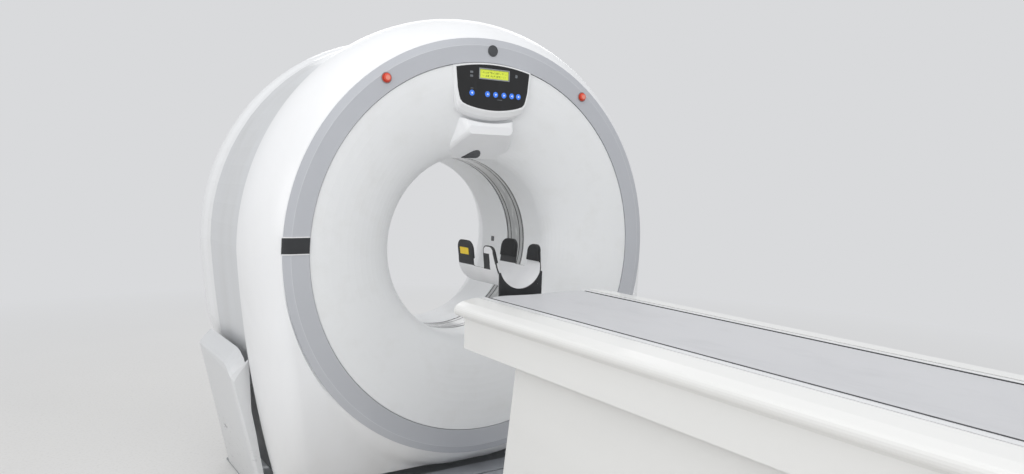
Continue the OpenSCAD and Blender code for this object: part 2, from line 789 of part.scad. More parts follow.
module panel_button(i) {
    stem_r = 3;
    color("dodgerblue") in_gantry() {
        rod_y(button_x[i], button_z, button_r, -panel_proud - button_travel - 0.6, -panel_proud + 4);
        rod_y(button_x[i], button_z, stem_r, -panel_proud + 4, -panel_proud + 10);
    }
}

// The visor's underside runs from its lip back and down to the throat
hood_lip = 428;
hood_low = 340;
hood_back = 128;
hood_pitch = atan2(hood_low - hood_lip, hood_back);

// Section of the visor at depth y, with rounded lower corners
module hood_section(y, half, top, top_half) {
    z = hood_lip + (hood_low - hood_lip) * y / hood_back;
    along_y(y, y + 2) polygon([
        [-half, z], [half, z], [half + 9, z + 4], [half + 15, z + 11], [half + 17, z + 20],
        [top_half, top], [-top_half, top], [-half - 17, z + 20], [-half - 15, z + 11], [-half - 9, z + 4]
    ]);
}

module laser_hood() {
    // Moulded visor over the bore that holds the top alignment laser
    color(white) in_gantry() difference() {
        hull() {
            hood_section(0, 80, 458, 84);
            hood_section(8, 86, 478, 100);
            hood_section(40, 104, 508, 122);
            hood_section(78, 122, 440, 128);
            hood_section(hood_back, 132, hood_low + 30, 130);
        }
        behind_funnel();
        along_y(-30, 90) polygon(housing_outline(8.2, 38));
    }
}

module laser_window() {
    // Pointed towards one side, as the lens behind it looks across the bore
    color("dimgray") in_gantry() translate([0, hood_back, hood_low])
        rotate([180 + hood_pitch, 0, 0]) translate([0, 0, 0.1]) linear_extrude(1.5) polygon([
            [-56, 6], [-46, 17], [-33, 37], [-22, 50], [-13, 56], [-4, 56], [6, 51], [15, 38],
            [20, 22], [18, 10], [10, 5], [-28, 3], [-50, 3]
        ]);
}

bezel_t = 3;
stem_r = 7;
cap_back = bezel_t + stop_travel + run_gap;

module stop_bezels() {
    color("dimgray") in_gantry() for (s = [-1, 1])
        translate([s * stop_x, -bezel_t, stop_z]) rotate([-90, 0, 0]) difference() {
            cylinder(h = bezel_t, r = stop_r + 4, $fn = 64);
            translate([0, 0, -skin]) cylinder(h = bezel_t + 2 * skin, r = stem_r + run_gap, $fn = 64);
        }
}

module stop_button(s) {
    color("orangered") in_gantry()
        translate([s * stop_x, -cap_back, stop_z]) rotate([-90, 0, 0]) rotate_extrude($fn = 64)
            polygon([[0, -6], [stop_r - 4, -6], [stop_r - 1, -4.6], [stop_r, -3], [stop_r, 0],
                     [stem_r, 0], [stem_r, cap_back + 5], [0, cap_back + 5]]);
}

module left_stop_button() {
    stop_button(-1);
}

module right_stop_button() {
    stop_button(1);
}

module bearing_outer() {
    color("silver") in_gantry()
        tube_y(bearing_r + 48, bearing_r + run_gap / 2, bearing_y + run_gap, frame_y);
}

module brush_block() {
    color("saddlebrown") in_gantry() difference() {
        block(-70, 70, frame_y + frame_t, slip_y + slip_w, slip_r + 0.5, bearing_r + 60);
        tube_y(slip_r + 1.2, 1, frame_y, slip_y + slip_w + 10);
    }
}

motor_x = motor_reach * cos(motor_angle);
motor_z = motor_reach * sin(motor_angle);

module drive_motor() {
    color("darkslategray") in_gantry() {
        rod_y(motor_x, motor_z, 68, frame_y + frame_t, frame_y + frame_t + 120);
        rod_y(motor_x, motor_z, 24, frame_y + 1, frame_y + frame_t + 1);
        rod_y(motor_x, motor_z, 11, belt_y - 4, frame_y + 2);
    }
}

module belt_loop(extra, y0, y1) {
    around_bore() translate([0, 0, y0]) linear_extrude(y1 - y0) hull() {
        circle(r = belt_rim_r + extra, $fn = 96);
        translate([motor_x, -motor_z]) circle(r = pulley_r + extra, $fn = 40);
    }
}

module drive_belt() {
    color("black") in_gantry() difference() {
        belt_loop(belt_t + run_gap, belt_y, belt_y + belt_w - 2);
        belt_loop(run_gap, belt_y - skin, belt_y + belt_w);
    }
}

// Rotor

module rotor_plate() {
    color("gray") in_gantry() {
        tube_y(rotor_r, rotor_bore, rotor_y, rotor_y + rotor_t);
        tube_y(belt_rim_r, belt_rim_r - 14, rotor_y + rotor_t - 1, belt_y + belt_w);
        tube_y(rotor_bore + sleeve_t, rotor_bore, rotor_y + rotor_t - 1, slip_y + slip_w);
        tube_y(rotor_r, rotor_r - 8, rotor_y - 60, rotor_y + 1);
    }
}

module bearing_inner() {
    color("silver") in_gantry()
        tube_y(bearing_r - run_gap / 2, rotor_bore + sleeve_t, bearing_y, frame_y - run_gap);
}

module slip_ring() {
    color("goldenrod") in_gantry() around_bore() rotate_extrude($fn = fine) polygon(concat(
        [[rotor_bore + sleeve_t, slip_y], [slip_r - 4, slip_y]],
        [for (i = [0:5], e = [0, 1, 2, 3]) [
            slip_r - (e == 0 || e == 3 ? 4 : 0), slip_y + 2 + i * 7 + (e < 2 ? 0 : 5)]],
        [[slip_r - 4, slip_y + slip_w], [rotor_bore + sleeve_t, slip_y + slip_w]]));
}

module xray_tube() {
    z = focus_z + 66;
    color("slategray") in_gantry() difference() {
        union() {
            rod_y(0, z, tube_r, rotor_front, rotor_y);
            rod_y(0, z, tube_r + 6, rotor_front + 40, rotor_front + 54);
            rod_y(0, z, tube_r + 6, rotor_y - 54, rotor_y - 40);
            block(-52, 52, scan_plane - 50, scan_plane + 50, focus_z - 32, z);
        }
        // Port through which the beam leaves
        block(-30, 30, scan_plane - 18, scan_plane + 18, focus_z - 33, focus_z);
    }
}

module collimator() {
    top = focus_z - 32;
    color("darkgray") in_gantry() difference() {
        block(-95, 95, scan_plane - 62, rotor_y, 430, top);
        along_y(scan_plane - 16, scan_plane + 16) polygon([
            [-30, top + skin], [30, top + skin], [80, 429], [-80, 429]
        ]);
    }
}

module detector() {
    // Curved detector housing, centred on the focus
    depth = 92;
    color("darkgray") in_gantry() difference() {
        intersection() {
            translate([0, 0, focus_z]) tube_y(detector_r + depth, detector_r, scan_plane - 70, rotor_y);
            along_y(rotor_front, rotor_y) polygon([
                [0, focus_z], [1300 * sin(detector_half), focus_z - 1300 * cos(detector_half)],
                [-1300 * sin(detector_half), focus_z - 1300 * cos(detector_half)]
            ]);
        }
        // Slot that shows the detector rows to the beam
        intersection() {
            translate([0, 0, focus_z])
                tube_y(detector_r + 22, detector_r - skin, scan_plane - 22, scan_plane + 22);
            along_y(rotor_front, rotor_y) polygon([
                [0, focus_z], [1300 * sin(detector_half - 2), focus_z - 1300 * cos(detector_half - 2)],
                [-1300 * sin(detector_half - 2), focus_z - 1300 * cos(detector_half - 2)]
            ]);
        }
    }
}

module rotor_box(angle, r0, r1, half, y0) {
    rotate([0, -angle, 0]) block(r0, r1, y0, rotor_y, -half, half);
}

module hv_tank() {
    color("steelblue") in_gantry() {
        rotor_box(180, 440, 662, 165, rotor_front);
        for (z = [-80, 80]) rod_y(-550, z, 22, rotor_front - 16, rotor_front);
    }
}

module tube_cooler() {
    // Finned heat exchanger with its fan openings
    color("lightslategray") in_gantry() difference() {
        rotor_box(40, 450, 680, 120, rotor_front);
        rotate([0, -40, 0]) for (i = [0:8])
            block(470, 660, rotor_front - skin, rotor_front + 40, -104 + i * 24, -94 + i * 24);
    }
}

module rotor_electronics() {
    color("seagreen") in_gantry() rotor_box(140, 450, 680, 120, rotor_front + 20);
}

module counterweight() {
    color("dimgray") in_gantry() {
        rotor_box(0, 470, 668, 150, rotor_front + 60);
        for (z = [-90, 0, 90]) rod_y(570, z, 14, rotor_front + 48, rotor_front + 60);
    }
}

module motor_pulley() {
    color("silver") in_gantry() difference() {
        rod_y(motor_x, motor_z, pulley_r, belt_y, belt_y + belt_w);
        rod_y(motor_x, motor_z, 11.05, belt_y - 5, belt_y + belt_w + 5);
    }
}

// Table

module lift_frame() {
    z0 = -lift_top - lift_t;
    color(steel) in_gantry() {
        difference() {
            block(-240, 240, -skirt_front - base_length + 60, -skirt_front - 40, z0, -lift_top);
            for (y = [-skirt_front - base_length + 120, base_mid_y + 230])
                block(-165, 165, y, y + 320, z0 - skin, -lift_top + skin);
        }
        // Cross bars that carry the skirt
        for (y = [-skirt_front - base_length + 60, -skirt_front - 100])
            block(-skirt_half_w + table_wall / 2, skirt_half_w - table_wall / 2, y, y + 60, z0, z0 + 20);
        pillar_tube(2, lift_top + lift_t, iso_height - base_floor_t - stack_gap - lift_travel);
    }
}

module middle_skirt() {
    color(white) in_gantry()
        skirt_box(skirt_half_w, -skirt_front - base_length, -skirt_front,
                  skirt_top, skirt_bottom, front_slope);
}

module pillar_middle() {
    color("silver") in_gantry()
        pillar_tube(1, middle_top, iso_height - base_floor_t - stack_gap - lift_travel / 2);
}

module slide_frame() {
    // Longitudinal carriage: two side beams and cross members, with the cradle's runners on top
    z0 = -slide_top - slide_t;
    y0 = shell_end + 60;
    y1 = -top_front - 150;
    color("gray") in_gantry() difference() {
        union() {
            block(-230, 230, y0, y1, z0, -slide_top - 12);
            for (s = [-1, 1]) block(s * 175 - 22, s * 175 + 22, y0, y1, -slide_top - 13, -slide_top);
            // Outriggers under the side covers
            for (y = [y0 + 60, y1 - 140])
                block(-apron_half_w + table_wall, apron_half_w - table_wall, y, y + 60, z0 + 8, -slide_top - 12);
        }
        for (i = [0:4]) block(-140, 140, y0 + 60 + i * 370, y0 + 60 + i * 370 + 290,
                              z0 - skin, -slide_top + skin);
    }
}

rail_in = cradle_half_w + 8;

function nose_points(n) = let (r = 17, cx = top_half_w - 17, cz = -mattress_drop - 30)
    [for (i = [0:n]) let (a = 75 - 135 * i / n) [cx + r * cos(a), cz + r * sin(a)]];

module rail_section() {
    w = table_wall;
    z = -mattress_drop;
    polygon(concat(
        [[rail_in, z - 2], [rail_in + 20, z - 2.5], [top_half_w - 40, z - 6]],
        nose_points(7),
        [[apron_half_w + 6, z - 47], [apron_half_w, z - 54], [apron_half_w, -apron_drop],
         [apron_half_w - w, -apron_drop], [apron_half_w - w, z - 44], [rail_in, z - 30]]));
}

module bowed_end(front) {
    // Everything behind a bowed front end
    intersection() {
        translate([0, -front - bow_r, -far]) cylinder(h = 2 * far, r = bow_r, $fn = 256);
        block(-far, far, -front - bow_r, far, -far, far);
    }
    block(-far, far, -far, -front - bow_r, -far, far);
}

module table_shell() {
    // Side covers with rounded rails, joined by the end caps below the cradle
    w = table_wall;
    apron_y = -top_front - 50 - apron_setback;
    color(white) in_gantry() difference() {
        union() {
            for (s = [0, 1]) mirror([s, 0, 0]) intersection() {
                along_y(shell_end, -top_front) rail_section();
                bowed_end(top_front);
            }
            block(-apron_half_w, apron_half_w, apron_y - w, apron_y, -apron_drop, -slide_top - slide_t + 20);
            block(-apron_half_w, apron_half_w, shell_end, shell_end + w, -apron_drop, -cradle_bottom - 4);
        }
        // The apron ends short of the rails at the gantry end
        for (s = [0, 1]) mirror([s, 0, 0])
            block(rail_in - 40, top_half_w + 5, apron_y, 0, -apron_drop - skin, -mattress_drop - 49);
    }
}

function trough(half, depth, n) = [for (i = [-n:n]) let (x = half * i / n) [x, -depth * (1 - pow(i / n, 2))]];

function shifted(points, dz) = [for (p = points) [p[0], p[1] + dz]];

tongue_w = 100;
tongue_low = cradle_bottom - 6;
tongue_high = tongue_low - 20;
tongue_back = -top_front - 130;

module cradle() {
    seat = shifted(trough(mattress_half_w + 2, trough_depth, 8), -mattress_drop - mattress_t);
    color("gainsboro") in_gantry() difference() {
        intersection() {
            along_y(shell_end + 20, -top_front) polygon(concat(
                [[-cradle_half_w, -cradle_top], [-mattress_half_w - 2, -cradle_top]],
                seat,
                [[mattress_half_w + 2, -cradle_top], [cradle_half_w, -cradle_top],
                 [cradle_half_w, -cradle_top - 14], [160, -cradle_bottom], [-160, -cradle_bottom],
                 [-cradle_half_w, -cradle_top - 14]]));
            bowed_end(top_front + 2);
        }
        // Socket for the tongue of the head holder
        block(-tongue_w / 2 - run_gap, tongue_w / 2 + run_gap, tongue_back - run_gap, 0,
              -tongue_low - run_gap, -tongue_high + run_gap);
    }
}

module mattress() {
    top = shifted(trough(mattress_half_w, trough_depth, 8), -mattress_drop);
    low = shifted(trough(mattress_half_w, trough_depth, 8), -mattress_drop - mattress_t + 0.3);
    color("silver") in_gantry() intersection() {
        along_y(shell_end + 40, -top_front - 4) polygon(concat(top, [for (i = [16:-1:0]) low[i]]));
        bowed_end(top_front + 14);
    }
}

head_start = head_end - head_length;
ear_places = [[head_start, 84], [head_start + 154, 118]];

module head_holder() {
    r1 = head_r + head_wall;
    mid = -head_drop;
    color("whitesmoke") in_gantry() difference() {
        union() {
            // Trough with straight walls that rise into four ears
            translate([0, 0, mid]) tube_y(r1, head_r, head_start, head_end);
            for (ear = ear_places, s = [-1, 1]) mirror([s < 0 ? 1 : 0, 0, 0])
                translate([head_r, ear[0], mid]) {
                    cube([head_wall, ear[1], ear_h - ear[1] / 3]);
                    translate([0, ear[1] / 2, ear_h - ear[1] / 3]) rotate([0, 90, 0])
                        scale([0.66, 1, 1]) cylinder(h = head_wall, r = ear[1] / 2, $fn = 64);
                }
            // Base that plugs into the end of the cradle
            along_y(head_start - 48, head_start + 40) polygon([
                [-r1, mid - 40], [-r1, -cradle_bottom + 8], [r1, -cradle_bottom + 8], [r1, mid - 40],
                [80, mid - 46], [-80, mid - 46]
            ]);
            block(-tongue_w / 2, tongue_w / 2, tongue_back, head_start, -tongue_low, -tongue_high);
        }
        // Upper half of the round trough
        block(-head_r + 0.01, head_r - 0.01, head_start - 60, head_end + 10, mid, 200);
        translate([0, 0, mid]) around_bore() translate([0, 0, head_start - 60])
            cylinder(h = head_length + 80, r = head_r, $fn = fine);
        for (s = [-1, 1]) mirror([s < 0 ? 1 : 0, 0, 0])
            block(head_r - 1, r1 + 1, head_start + 84, head_start + 154, mid - 2, 100);
    }
}

module head_pads() {
    color("black") in_gantry() for (ear = ear_places, s = [-1, 1]) mirror([s < 0 ? 1 : 0, 0, 0])
        translate([head_r - 6.3, ear[0] + 4, -head_drop + 6]) cube([6, ear[1] - 8, ear_h - 20]);
}

base_plate();
left_post();
right_post();
left_pedestal_cover();
right_pedestal_cover();
floor_plinth();
plinth_seal();
docking_cover();
table_base();
base_skirt();
main_frame();
trunnions();
tilt_gearmotor();
front_cover();
trim_ring();
funnel();
side_shell();
rear_cover();
rear_funnel();
bore_liner();
scan_window();
window_seals();
panel_housing();
control_panel();
display();
laser_hood();
laser_window();
stop_bezels();
bearing_outer();
brush_block();
drive_motor();
drive_belt();
rotor_plate();
bearing_inner();
slip_ring();
xray_tube();
collimator();
detector();
hv_tank();
tube_cooler();
rotor_electronics();
counterweight();
motor_pulley();
left_stop_button();
right_stop_button();
panel_button(0);  // panel_button_1
panel_button(1);  // panel_button_2
panel_button(2);  // panel_button_3
panel_button(3);  // panel_button_4
panel_button(4);  // panel_button_5
panel_button(5);  // panel_button_6
lift_frame();
middle_skirt();
pillar_middle();
slide_frame();
table_shell();
cradle();
mattress();
head_holder();
head_pads();
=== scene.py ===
from math import asin, cos, degrees, pi, radians, sin, sqrt
import bmesh
import bpy
from mathutils import Matrix, Vector


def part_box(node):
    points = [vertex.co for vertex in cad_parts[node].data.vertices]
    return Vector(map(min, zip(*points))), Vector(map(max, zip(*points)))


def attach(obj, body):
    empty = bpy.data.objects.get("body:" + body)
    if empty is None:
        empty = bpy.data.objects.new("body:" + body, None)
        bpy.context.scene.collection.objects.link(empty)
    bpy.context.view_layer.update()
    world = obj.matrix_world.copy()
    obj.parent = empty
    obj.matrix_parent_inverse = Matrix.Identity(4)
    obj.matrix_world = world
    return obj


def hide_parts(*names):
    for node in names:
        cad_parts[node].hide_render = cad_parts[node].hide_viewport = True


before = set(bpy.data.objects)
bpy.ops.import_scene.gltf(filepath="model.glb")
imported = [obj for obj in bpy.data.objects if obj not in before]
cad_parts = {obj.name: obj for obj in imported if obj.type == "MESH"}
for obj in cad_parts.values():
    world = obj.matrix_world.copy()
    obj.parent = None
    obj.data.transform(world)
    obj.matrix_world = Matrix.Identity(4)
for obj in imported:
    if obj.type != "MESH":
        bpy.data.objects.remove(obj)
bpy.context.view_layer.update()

# The photographer stands beside the foot of the table, a little above the height of the bore's
# centre. The camera is placed from the front plane of the grey ring and the bore's centre line.
ring_low, ring_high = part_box("trim_ring")
front_y = ring_low[1]
centre_z = (ring_low[2] + ring_high[2]) / 2


def gantry(x, y, z):
    """A place in the scene from x, depth behind the ring's front and height above the bore's centre."""
    return Vector((x, front_y + y, centre_z + z))


heading, nod, roll = radians(33.80116), radians(-4.37872), radians(1.51148)
focal_px, photo_px, film_mm = 788.433, 1024, 36
stand_x, stand_y, eye_z = -1.57609, -2.51461, 0.27398
ahead = Vector((sin(heading) * cos(nod), cos(heading) * cos(nod), sin(nod)))
level_right = Vector((cos(heading), -sin(heading), 0))
level_up = level_right.cross(ahead)
right = cos(roll) * level_right + sin(roll) * level_up
up = cos(roll) * level_up - sin(roll) * level_right
camera_data = bpy.data.cameras.new("camera")
camera_data.sensor_width = film_mm
camera_data.lens = focal_px * film_mm / photo_px
camera_data.clip_end = 60
camera = bpy.data.objects.new("camera", camera_data)
camera.matrix_world = Matrix((right, up, -ahead)).transposed().to_4x4()
camera.location = gantry(stand_x, stand_y, eye_z)
bpy.context.collection.objects.link(camera)
bpy.context.scene.camera = camera

# The room is lit by panels in a white ceiling: an even, almost shadowless light from above and
# from the side on which the photographer stands. Walls stay out, so the world stands for them.
scene = bpy.context.scene
scene.view_settings.view_transform = "Standard"


def ceiling_panel(name, place, size, watts, aim):
    """An area lamp of a size in metres, turned so that it shines at a point."""
    lamp = bpy.data.lights.new(name, "AREA")
    lamp.shape = "RECTANGLE"
    lamp.size, lamp.size_y = size
    lamp.energy = watts
    panel = bpy.data.objects.new(name, lamp)
    panel.location = place
    panel.rotation_euler = (Vector(aim) - Vector(place)).to_track_quat("-Z", "Y").to_euler()
    bpy.context.collection.objects.link(panel)


ceiling_panel("ceiling_light", (-0.6, -1.6, 3.1), (3.6, 3.6), 32, (0, -0.6, 0.6))
ceiling_panel("door_light", (-4.2, -2.6, 2.2), (2.6, 2.0), 36, (0, -0.2, 0.9))
ceiling_panel("rear_light", (1.6, 3.0, 2.8), (3.0, 2.0), 26, (0, 0.3, 0.9))

# The world is the rest of the room: pale walls that fill the shadows. What the camera and
# mirror-like surfaces see directly is a plain near-white.
wall_fill, backdrop_light = 0.82, 0.94


class Socket:
    """An output in a material's node tree. Sums of these, and of numbers, add Math nodes."""

    def __init__(self, finish, output):
        self.finish = finish
        self.output = output

    def _math(self, operation, first, second=None, clamp=False):
        values = {0: first} if second is None else {0: first, 1: second}
        settings = {"operation": operation, "use_clamp": clamp}
        return self.finish.node("ShaderNodeMath", settings, values)

    def __add__(self, other):
        return self._math("ADD", self, other)

    def __sub__(self, other):
        return self._math("SUBTRACT", self, other)

    def __rsub__(self, other):
        return self._math("SUBTRACT", other, self)

    def __mul__(self, other):
        return self._math("MULTIPLY", self, other)

    def __truediv__(self, other):
        return self._math("DIVIDE", self, other)

    def __pow__(self, other):
        return self._math("POWER", self, other)

    __radd__ = __add__
    __rmul__ = __mul__

    def clip(self):
        """The value kept between 0 and 1."""
        return self._math("ADD", self, 0.0, clamp=True)

    def least(self, other):
        return self._math("MINIMUM", self, other)

    def most(self, other):
        return self._math("MAXIMUM", self, other)

    def size(self):
        return self._math("ABSOLUTE", self)

    def span(self, other):
        """The long side of a right triangle that has these two as its short sides."""
        return (self * self + other * other) ** 0.5

    def above(self, level, softness):
        """0 below the level, 1 above it, with a soft step."""
        return ((self - level) / softness + 0.5).clip()


class Finish:
    """A material with one principled shader, built up by expressions on sockets."""

    def __init__(self, name, metallic=0.0, coat=0.0, tree=None):
        if tree is None:
            self.material = bpy.data.materials.new(name)
            self.material.use_nodes = True
            tree = self.material.node_tree
        self.tree = tree
        self.shader = tree.nodes.get("Principled BSDF")
        if self.shader:
            self.set("Metallic", metallic)
            self.set("Coat Weight", coat)
            self.set("Coat Roughness", 0.12)

    def node(self, kind, settings, values, output=0):
        """Adds any node: its settings first, then a number, colour or link for each socket."""
        made = self.tree.nodes.new(kind)
        for key, value in settings.items():
            setattr(made, key, value)
        for key, value in values.items():
            self.feed(made.inputs[key], value)
        return Socket(self, made.outputs[output])

    def feed(self, target, value):
        if isinstance(value, Socket):
            self.tree.links.new(value.output, target)
        else:
            target.default_value = value

    def set(self, socket, value):
        self.feed(self.shader.inputs[socket], value)

    def seen(self):
        """1 for what the camera sees, directly, through glass or in a mirror, and 0 for the rest."""
        camera, glass, mirror = (self.node("ShaderNodeLightPath", {}, {}, f"Is {kind} Ray")
                                 for kind in ("Camera", "Transmission", "Glossy"))
        return (camera + glass + mirror).clip()

    def place(self):
        """Where a point of the surface lies, in metres."""
        return self.node("ShaderNodeTexCoord", {}, {}, "Object")

    def along(self, axis):
        return self.node("ShaderNodeSeparateXYZ", {}, {"Vector": self.place()}, "XYZ".index(axis))

    def noise(self, scale, detail=3.0, roughness=0.5, stretch=None):
        where = self.place()
        if stretch:
            where = self.node("ShaderNodeVectorMath", {"operation": "MULTIPLY"}, {0: where, 1: stretch})
        values = {"Vector": where, "Scale": scale, "Detail": detail, "Roughness": roughness}
        return self.node("ShaderNodeTexNoise", {}, values)

    def mix(self, first, second, share):
        """One colour over another by share. Either may be the six digits of a paint card."""
        first, second = (paint(color) if isinstance(color, str) else color for color in (first, second))
        return self.node("ShaderNodeMix", {"data_type": "RGBA"}, {0: share, 6: first, 7: second}, 2)

    def surface(self, color, roughness, relief, depth, strength):
        """What varies in every finish: its colour, its roughness and its fine relief."""
        self.set("Base Color", color)
        self.set("Roughness", roughness)
        values = {"Height": relief, "Distance": depth, "Strength": strength}
        self.set("Normal", self.node("ShaderNodeBump", {}, values))

    def two_tone(self, dark, light, tone, dull, spread, depth, strength, relief=None):
        """A finish between two shades, whose roughness, and relief if none is given, follow one tone."""
        self.surface(self.mix(dark, light, tone), dull + spread * tone, relief or tone, depth, strength)


def paint(hex_code):
    """A colour for the shader from the six digits that a paint card shows."""
    parts = [int(hex_code[i:i + 2], 16) / 255 for i in (0, 2, 4)]
    return tuple(p / 12.92 if p <= 0.04045 else ((p + 0.055) / 1.055) ** 2.4 for p in parts) + (1,)


scene.world = bpy.data.worlds.new("room")
scene.world.use_nodes = True
room = Finish("room", tree=scene.world.node_tree)
wall_seen = room.seen()
backdrop = scene.world.node_tree.nodes["Background"]
backdrop_grey = paint("dfe0e2")
room.feed(backdrop.inputs["Color"], room.mix("eef0f2", backdrop_grey, wall_seen))
room.feed(backdrop.inputs["Strength"], wall_fill + (backdrop_light - wall_fill) * wall_seen)

# The floor is pale poured vinyl. It runs out into the tone of the walls, so that only the machine's
# shadow and the floor's flecks show near it.
floor_half, run_out_r, run_out_band = 9.0, 3.6, 3.4
near_share = 0.25
floor_mesh = bpy.data.meshes.new("floor")
floor_corners = [(x * floor_half, y * floor_half, 0) for x, y in ((-1, -1), (1, -1), (1, 1), (-1, 1))]
floor_mesh.from_pydata(floor_corners, [], [(0, 1, 2, 3)])
floor = bpy.data.objects.new("floor", floor_mesh)
bpy.context.collection.objects.link(floor)
vinyl = Finish("floor_vinyl")
flecks = vinyl.noise(90, detail=4).above(0.58, 0.12)
clouds = vinyl.mix("dbd9d6", "e4e2df", vinyl.noise(1.3, detail=5))
vinyl.surface(vinyl.mix(clouds, "cbc8c3", flecks * 0.35), 0.55, vinyl.noise(140, detail=2), 0.0004, 0.3)
run_out = vinyl.along("X").span(vinyl.along("Y")).above(run_out_r, run_out_band)
wall_share = (near_share + (1 - near_share) * run_out) * vinyl.seen()
wall_tone = vinyl.node("ShaderNodeEmission", {}, {"Color": backdrop_grey, "Strength": backdrop_light})
poured = Socket(vinyl, vinyl.shader.outputs["BSDF"])
floor_surface = vinyl.node("ShaderNodeMixShader", {}, {0: wall_share, 1: poured, 2: wall_tone})
vinyl.feed(vinyl.tree.nodes["Material Output"].inputs["Surface"], floor_surface)
floor_mesh.materials.append(vinyl.material)

# The covers of the gantry are hand-laid and painted mouldings: a satin two-part enamel over a
# slightly rippled shell. Years of cleaning leave faint streaks and a duller band near the floor.
enamel = Finish("white_enamel", coat=0.25)
ripple = enamel.noise(2.2, detail=2)
near_floor = (1 - enamel.along("Z") * 2.4).clip()
grime = near_floor * enamel.noise(5, detail=6, stretch=(1, 1, 0.35)).above(0.42, 0.4)
streaks = enamel.noise(7, detail=5, stretch=(1, 1, 0.12)).above(0.6, 0.3)
aged = enamel.mix(enamel.mix("ebecee", "f0f0f1", ripple), "e0dfdc", streaks * 0.18)
enamel.surface(enamel.mix(aged, "c6c3bc", grime * 0.3),
               0.30 + 0.10 * enamel.noise(9, detail=5) + 0.16 * grime,
               enamel.noise(420, detail=2) * 0.35 + ripple * 0.65, 0.0009, 0.22)


def dress(finish, *names):
    """Gives CAD nodes a finish; their shapes stay as they are."""
    for name in names:
        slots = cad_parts[name].data.materials
        slots.clear()
        slots.append(finish.material)


dress(enamel, "front_cover", "rear_cover", "rear_funnel", "panel_housing", "laser_hood")

# The funnel and the bore liner are thermoformed sheet with a finer, duller grain, so that
# fingerprints do not show beside the patient.
formed = Finish("formed_sheet", coat=0.08)
haze = formed.noise(3.5, detail=4)
smudge = formed.noise(11, detail=6, roughness=0.62).above(0.60, 0.18)
formed.surface(formed.mix(formed.mix("e9eaeb", "edeeef", haze), "dfdfdd", smudge * 0.25),
               0.40 + 0.06 * haze + 0.08 * smudge,
               formed.noise(900, detail=2) * 0.5 + haze * 0.5, 0.0005, 0.25)
dress(formed, "funnel", "bore_liner")

# The side shell behind the front cover is the same kind of moulding in a greyer paint, and rain-like
# streaks run down it where a wet cloth has passed.
grey_enamel = Finish("grey_enamel", coat=0.18)
drift = grey_enamel.noise(1.8, detail=4)
rain = grey_enamel.noise(6, detail=5, stretch=(1, 1, 0.1)).above(0.58, 0.3)
grey_enamel.surface(grey_enamel.mix(grey_enamel.mix("cfd1d4", "dadbdd", drift), "bdbdbb", rain * 0.4),
                    0.36 + 0.14 * drift,
                    grey_enamel.noise(380, detail=2) * 0.4 + drift * 0.6, 0.0008, 0.25)
dress(grey_enamel, "side_shell")

# The grey ring is a moulding in metallic grey paint, with a fine flake and a thin lighter line all
# round where its bevel starts.
bevel_r, line_falloff = 0.754, 700000
flake = Finish("ring_grey", metallic=0.15, coat=0.15)
off_bevel = flake.along("X").span(flake.along("Z") - centre_z) - bevel_r
bevel_line = (1 - (off_bevel * off_bevel * line_falloff).clip()) * 0.55
sparkle = flake.noise(2600, detail=1)
flake_tone = flake.mix("b4b6bc", "c0c2c7", flake.noise(3, detail=4))
flake.surface(flake.mix(flake.mix(flake_tone, "cdcfd3", sparkle * 0.3), "dcdee1", bevel_line),
              0.34 + 0.14 * flake.noise(12, detail=5), sparkle, 0.0003, 0.2)
dress(flake, "trim_ring")

# The pedestals' covers are vacuum-formed sheet over steel uprights. Trolleys and mops leave scuffs
# on the lower half of each.
pedestal_paint = Finish("pedestal_sheet", coat=0.1)
scuff = pedestal_paint.noise(26, detail=7, roughness=0.65, stretch=(1, 1, 2.6)).above(0.63, 0.05)
low = (1 - pedestal_paint.along("Z") * 3.2).clip()
wash = pedestal_paint.noise(2.4, detail=4)
pedestal_tone = pedestal_paint.mix("d8d9db", "e0e1e2", wash)
pedestal_worn = pedestal_paint.mix(pedestal_tone, "a7a8aa", scuff * low * 0.6)
pedestal_paint.surface(pedestal_paint.mix(pedestal_worn, "bfbdb8", low * wash * 0.35),
                       0.36 + 0.2 * scuff * low + 0.1 * wash,
                       pedestal_paint.noise(500, detail=2) * 0.6 - scuff * low * 0.4, 0.0006, 0.3)
dress(pedestal_paint, "left_pedestal_cover", "right_pedestal_cover", "left_post", "right_post")

# The plinth between gantry and table is ribbed blue-grey plastic sheet that feet walk on. It and the
# docking cover are darker where they have been trodden.
tread = Finish("plinth_plastic")
trodden = tread.noise(8, detail=7).above(0.5, 0.25)
tread.surface(tread.mix("b4b8be", "9a9da2", trodden * 0.6), 0.45 + 0.2 * trodden,
              tread.noise(700), 0.0006, 0.35)
dress(tread, "floor_plinth", "docking_cover")

# Black seals, window strips and the toothed belt are moulded rubber. It is matt, and dust leaves a
# bloom on it.
rubber = Finish("black_rubber")
bloom = rubber.noise(18, detail=6).above(0.5, 0.3)
rubber.surface(rubber.mix("202122", "3a3b3c", bloom * 0.5), 0.62 + 0.2 * bloom,
               rubber.noise(900, detail=2), 0.0004, 0.4)
dress(rubber, "plinth_seal", "window_seals", "drive_belt")

# The scan window is clear polyester film over the slot through which the beam passes: it shows
# a milky grey band with cleaning marks.
film = Finish("window_film", coat=0.5)
wiped = film.noise(14, detail=6, stretch=(1, 4, 1)).above(0.55, 0.25)
film.surface(film.mix("a3a4a4", "babbbb", wiped * 0.6), 0.12 + 0.2 * wiped, film.noise(60), 0.0004, 0.15)
dress(film, "scan_window")

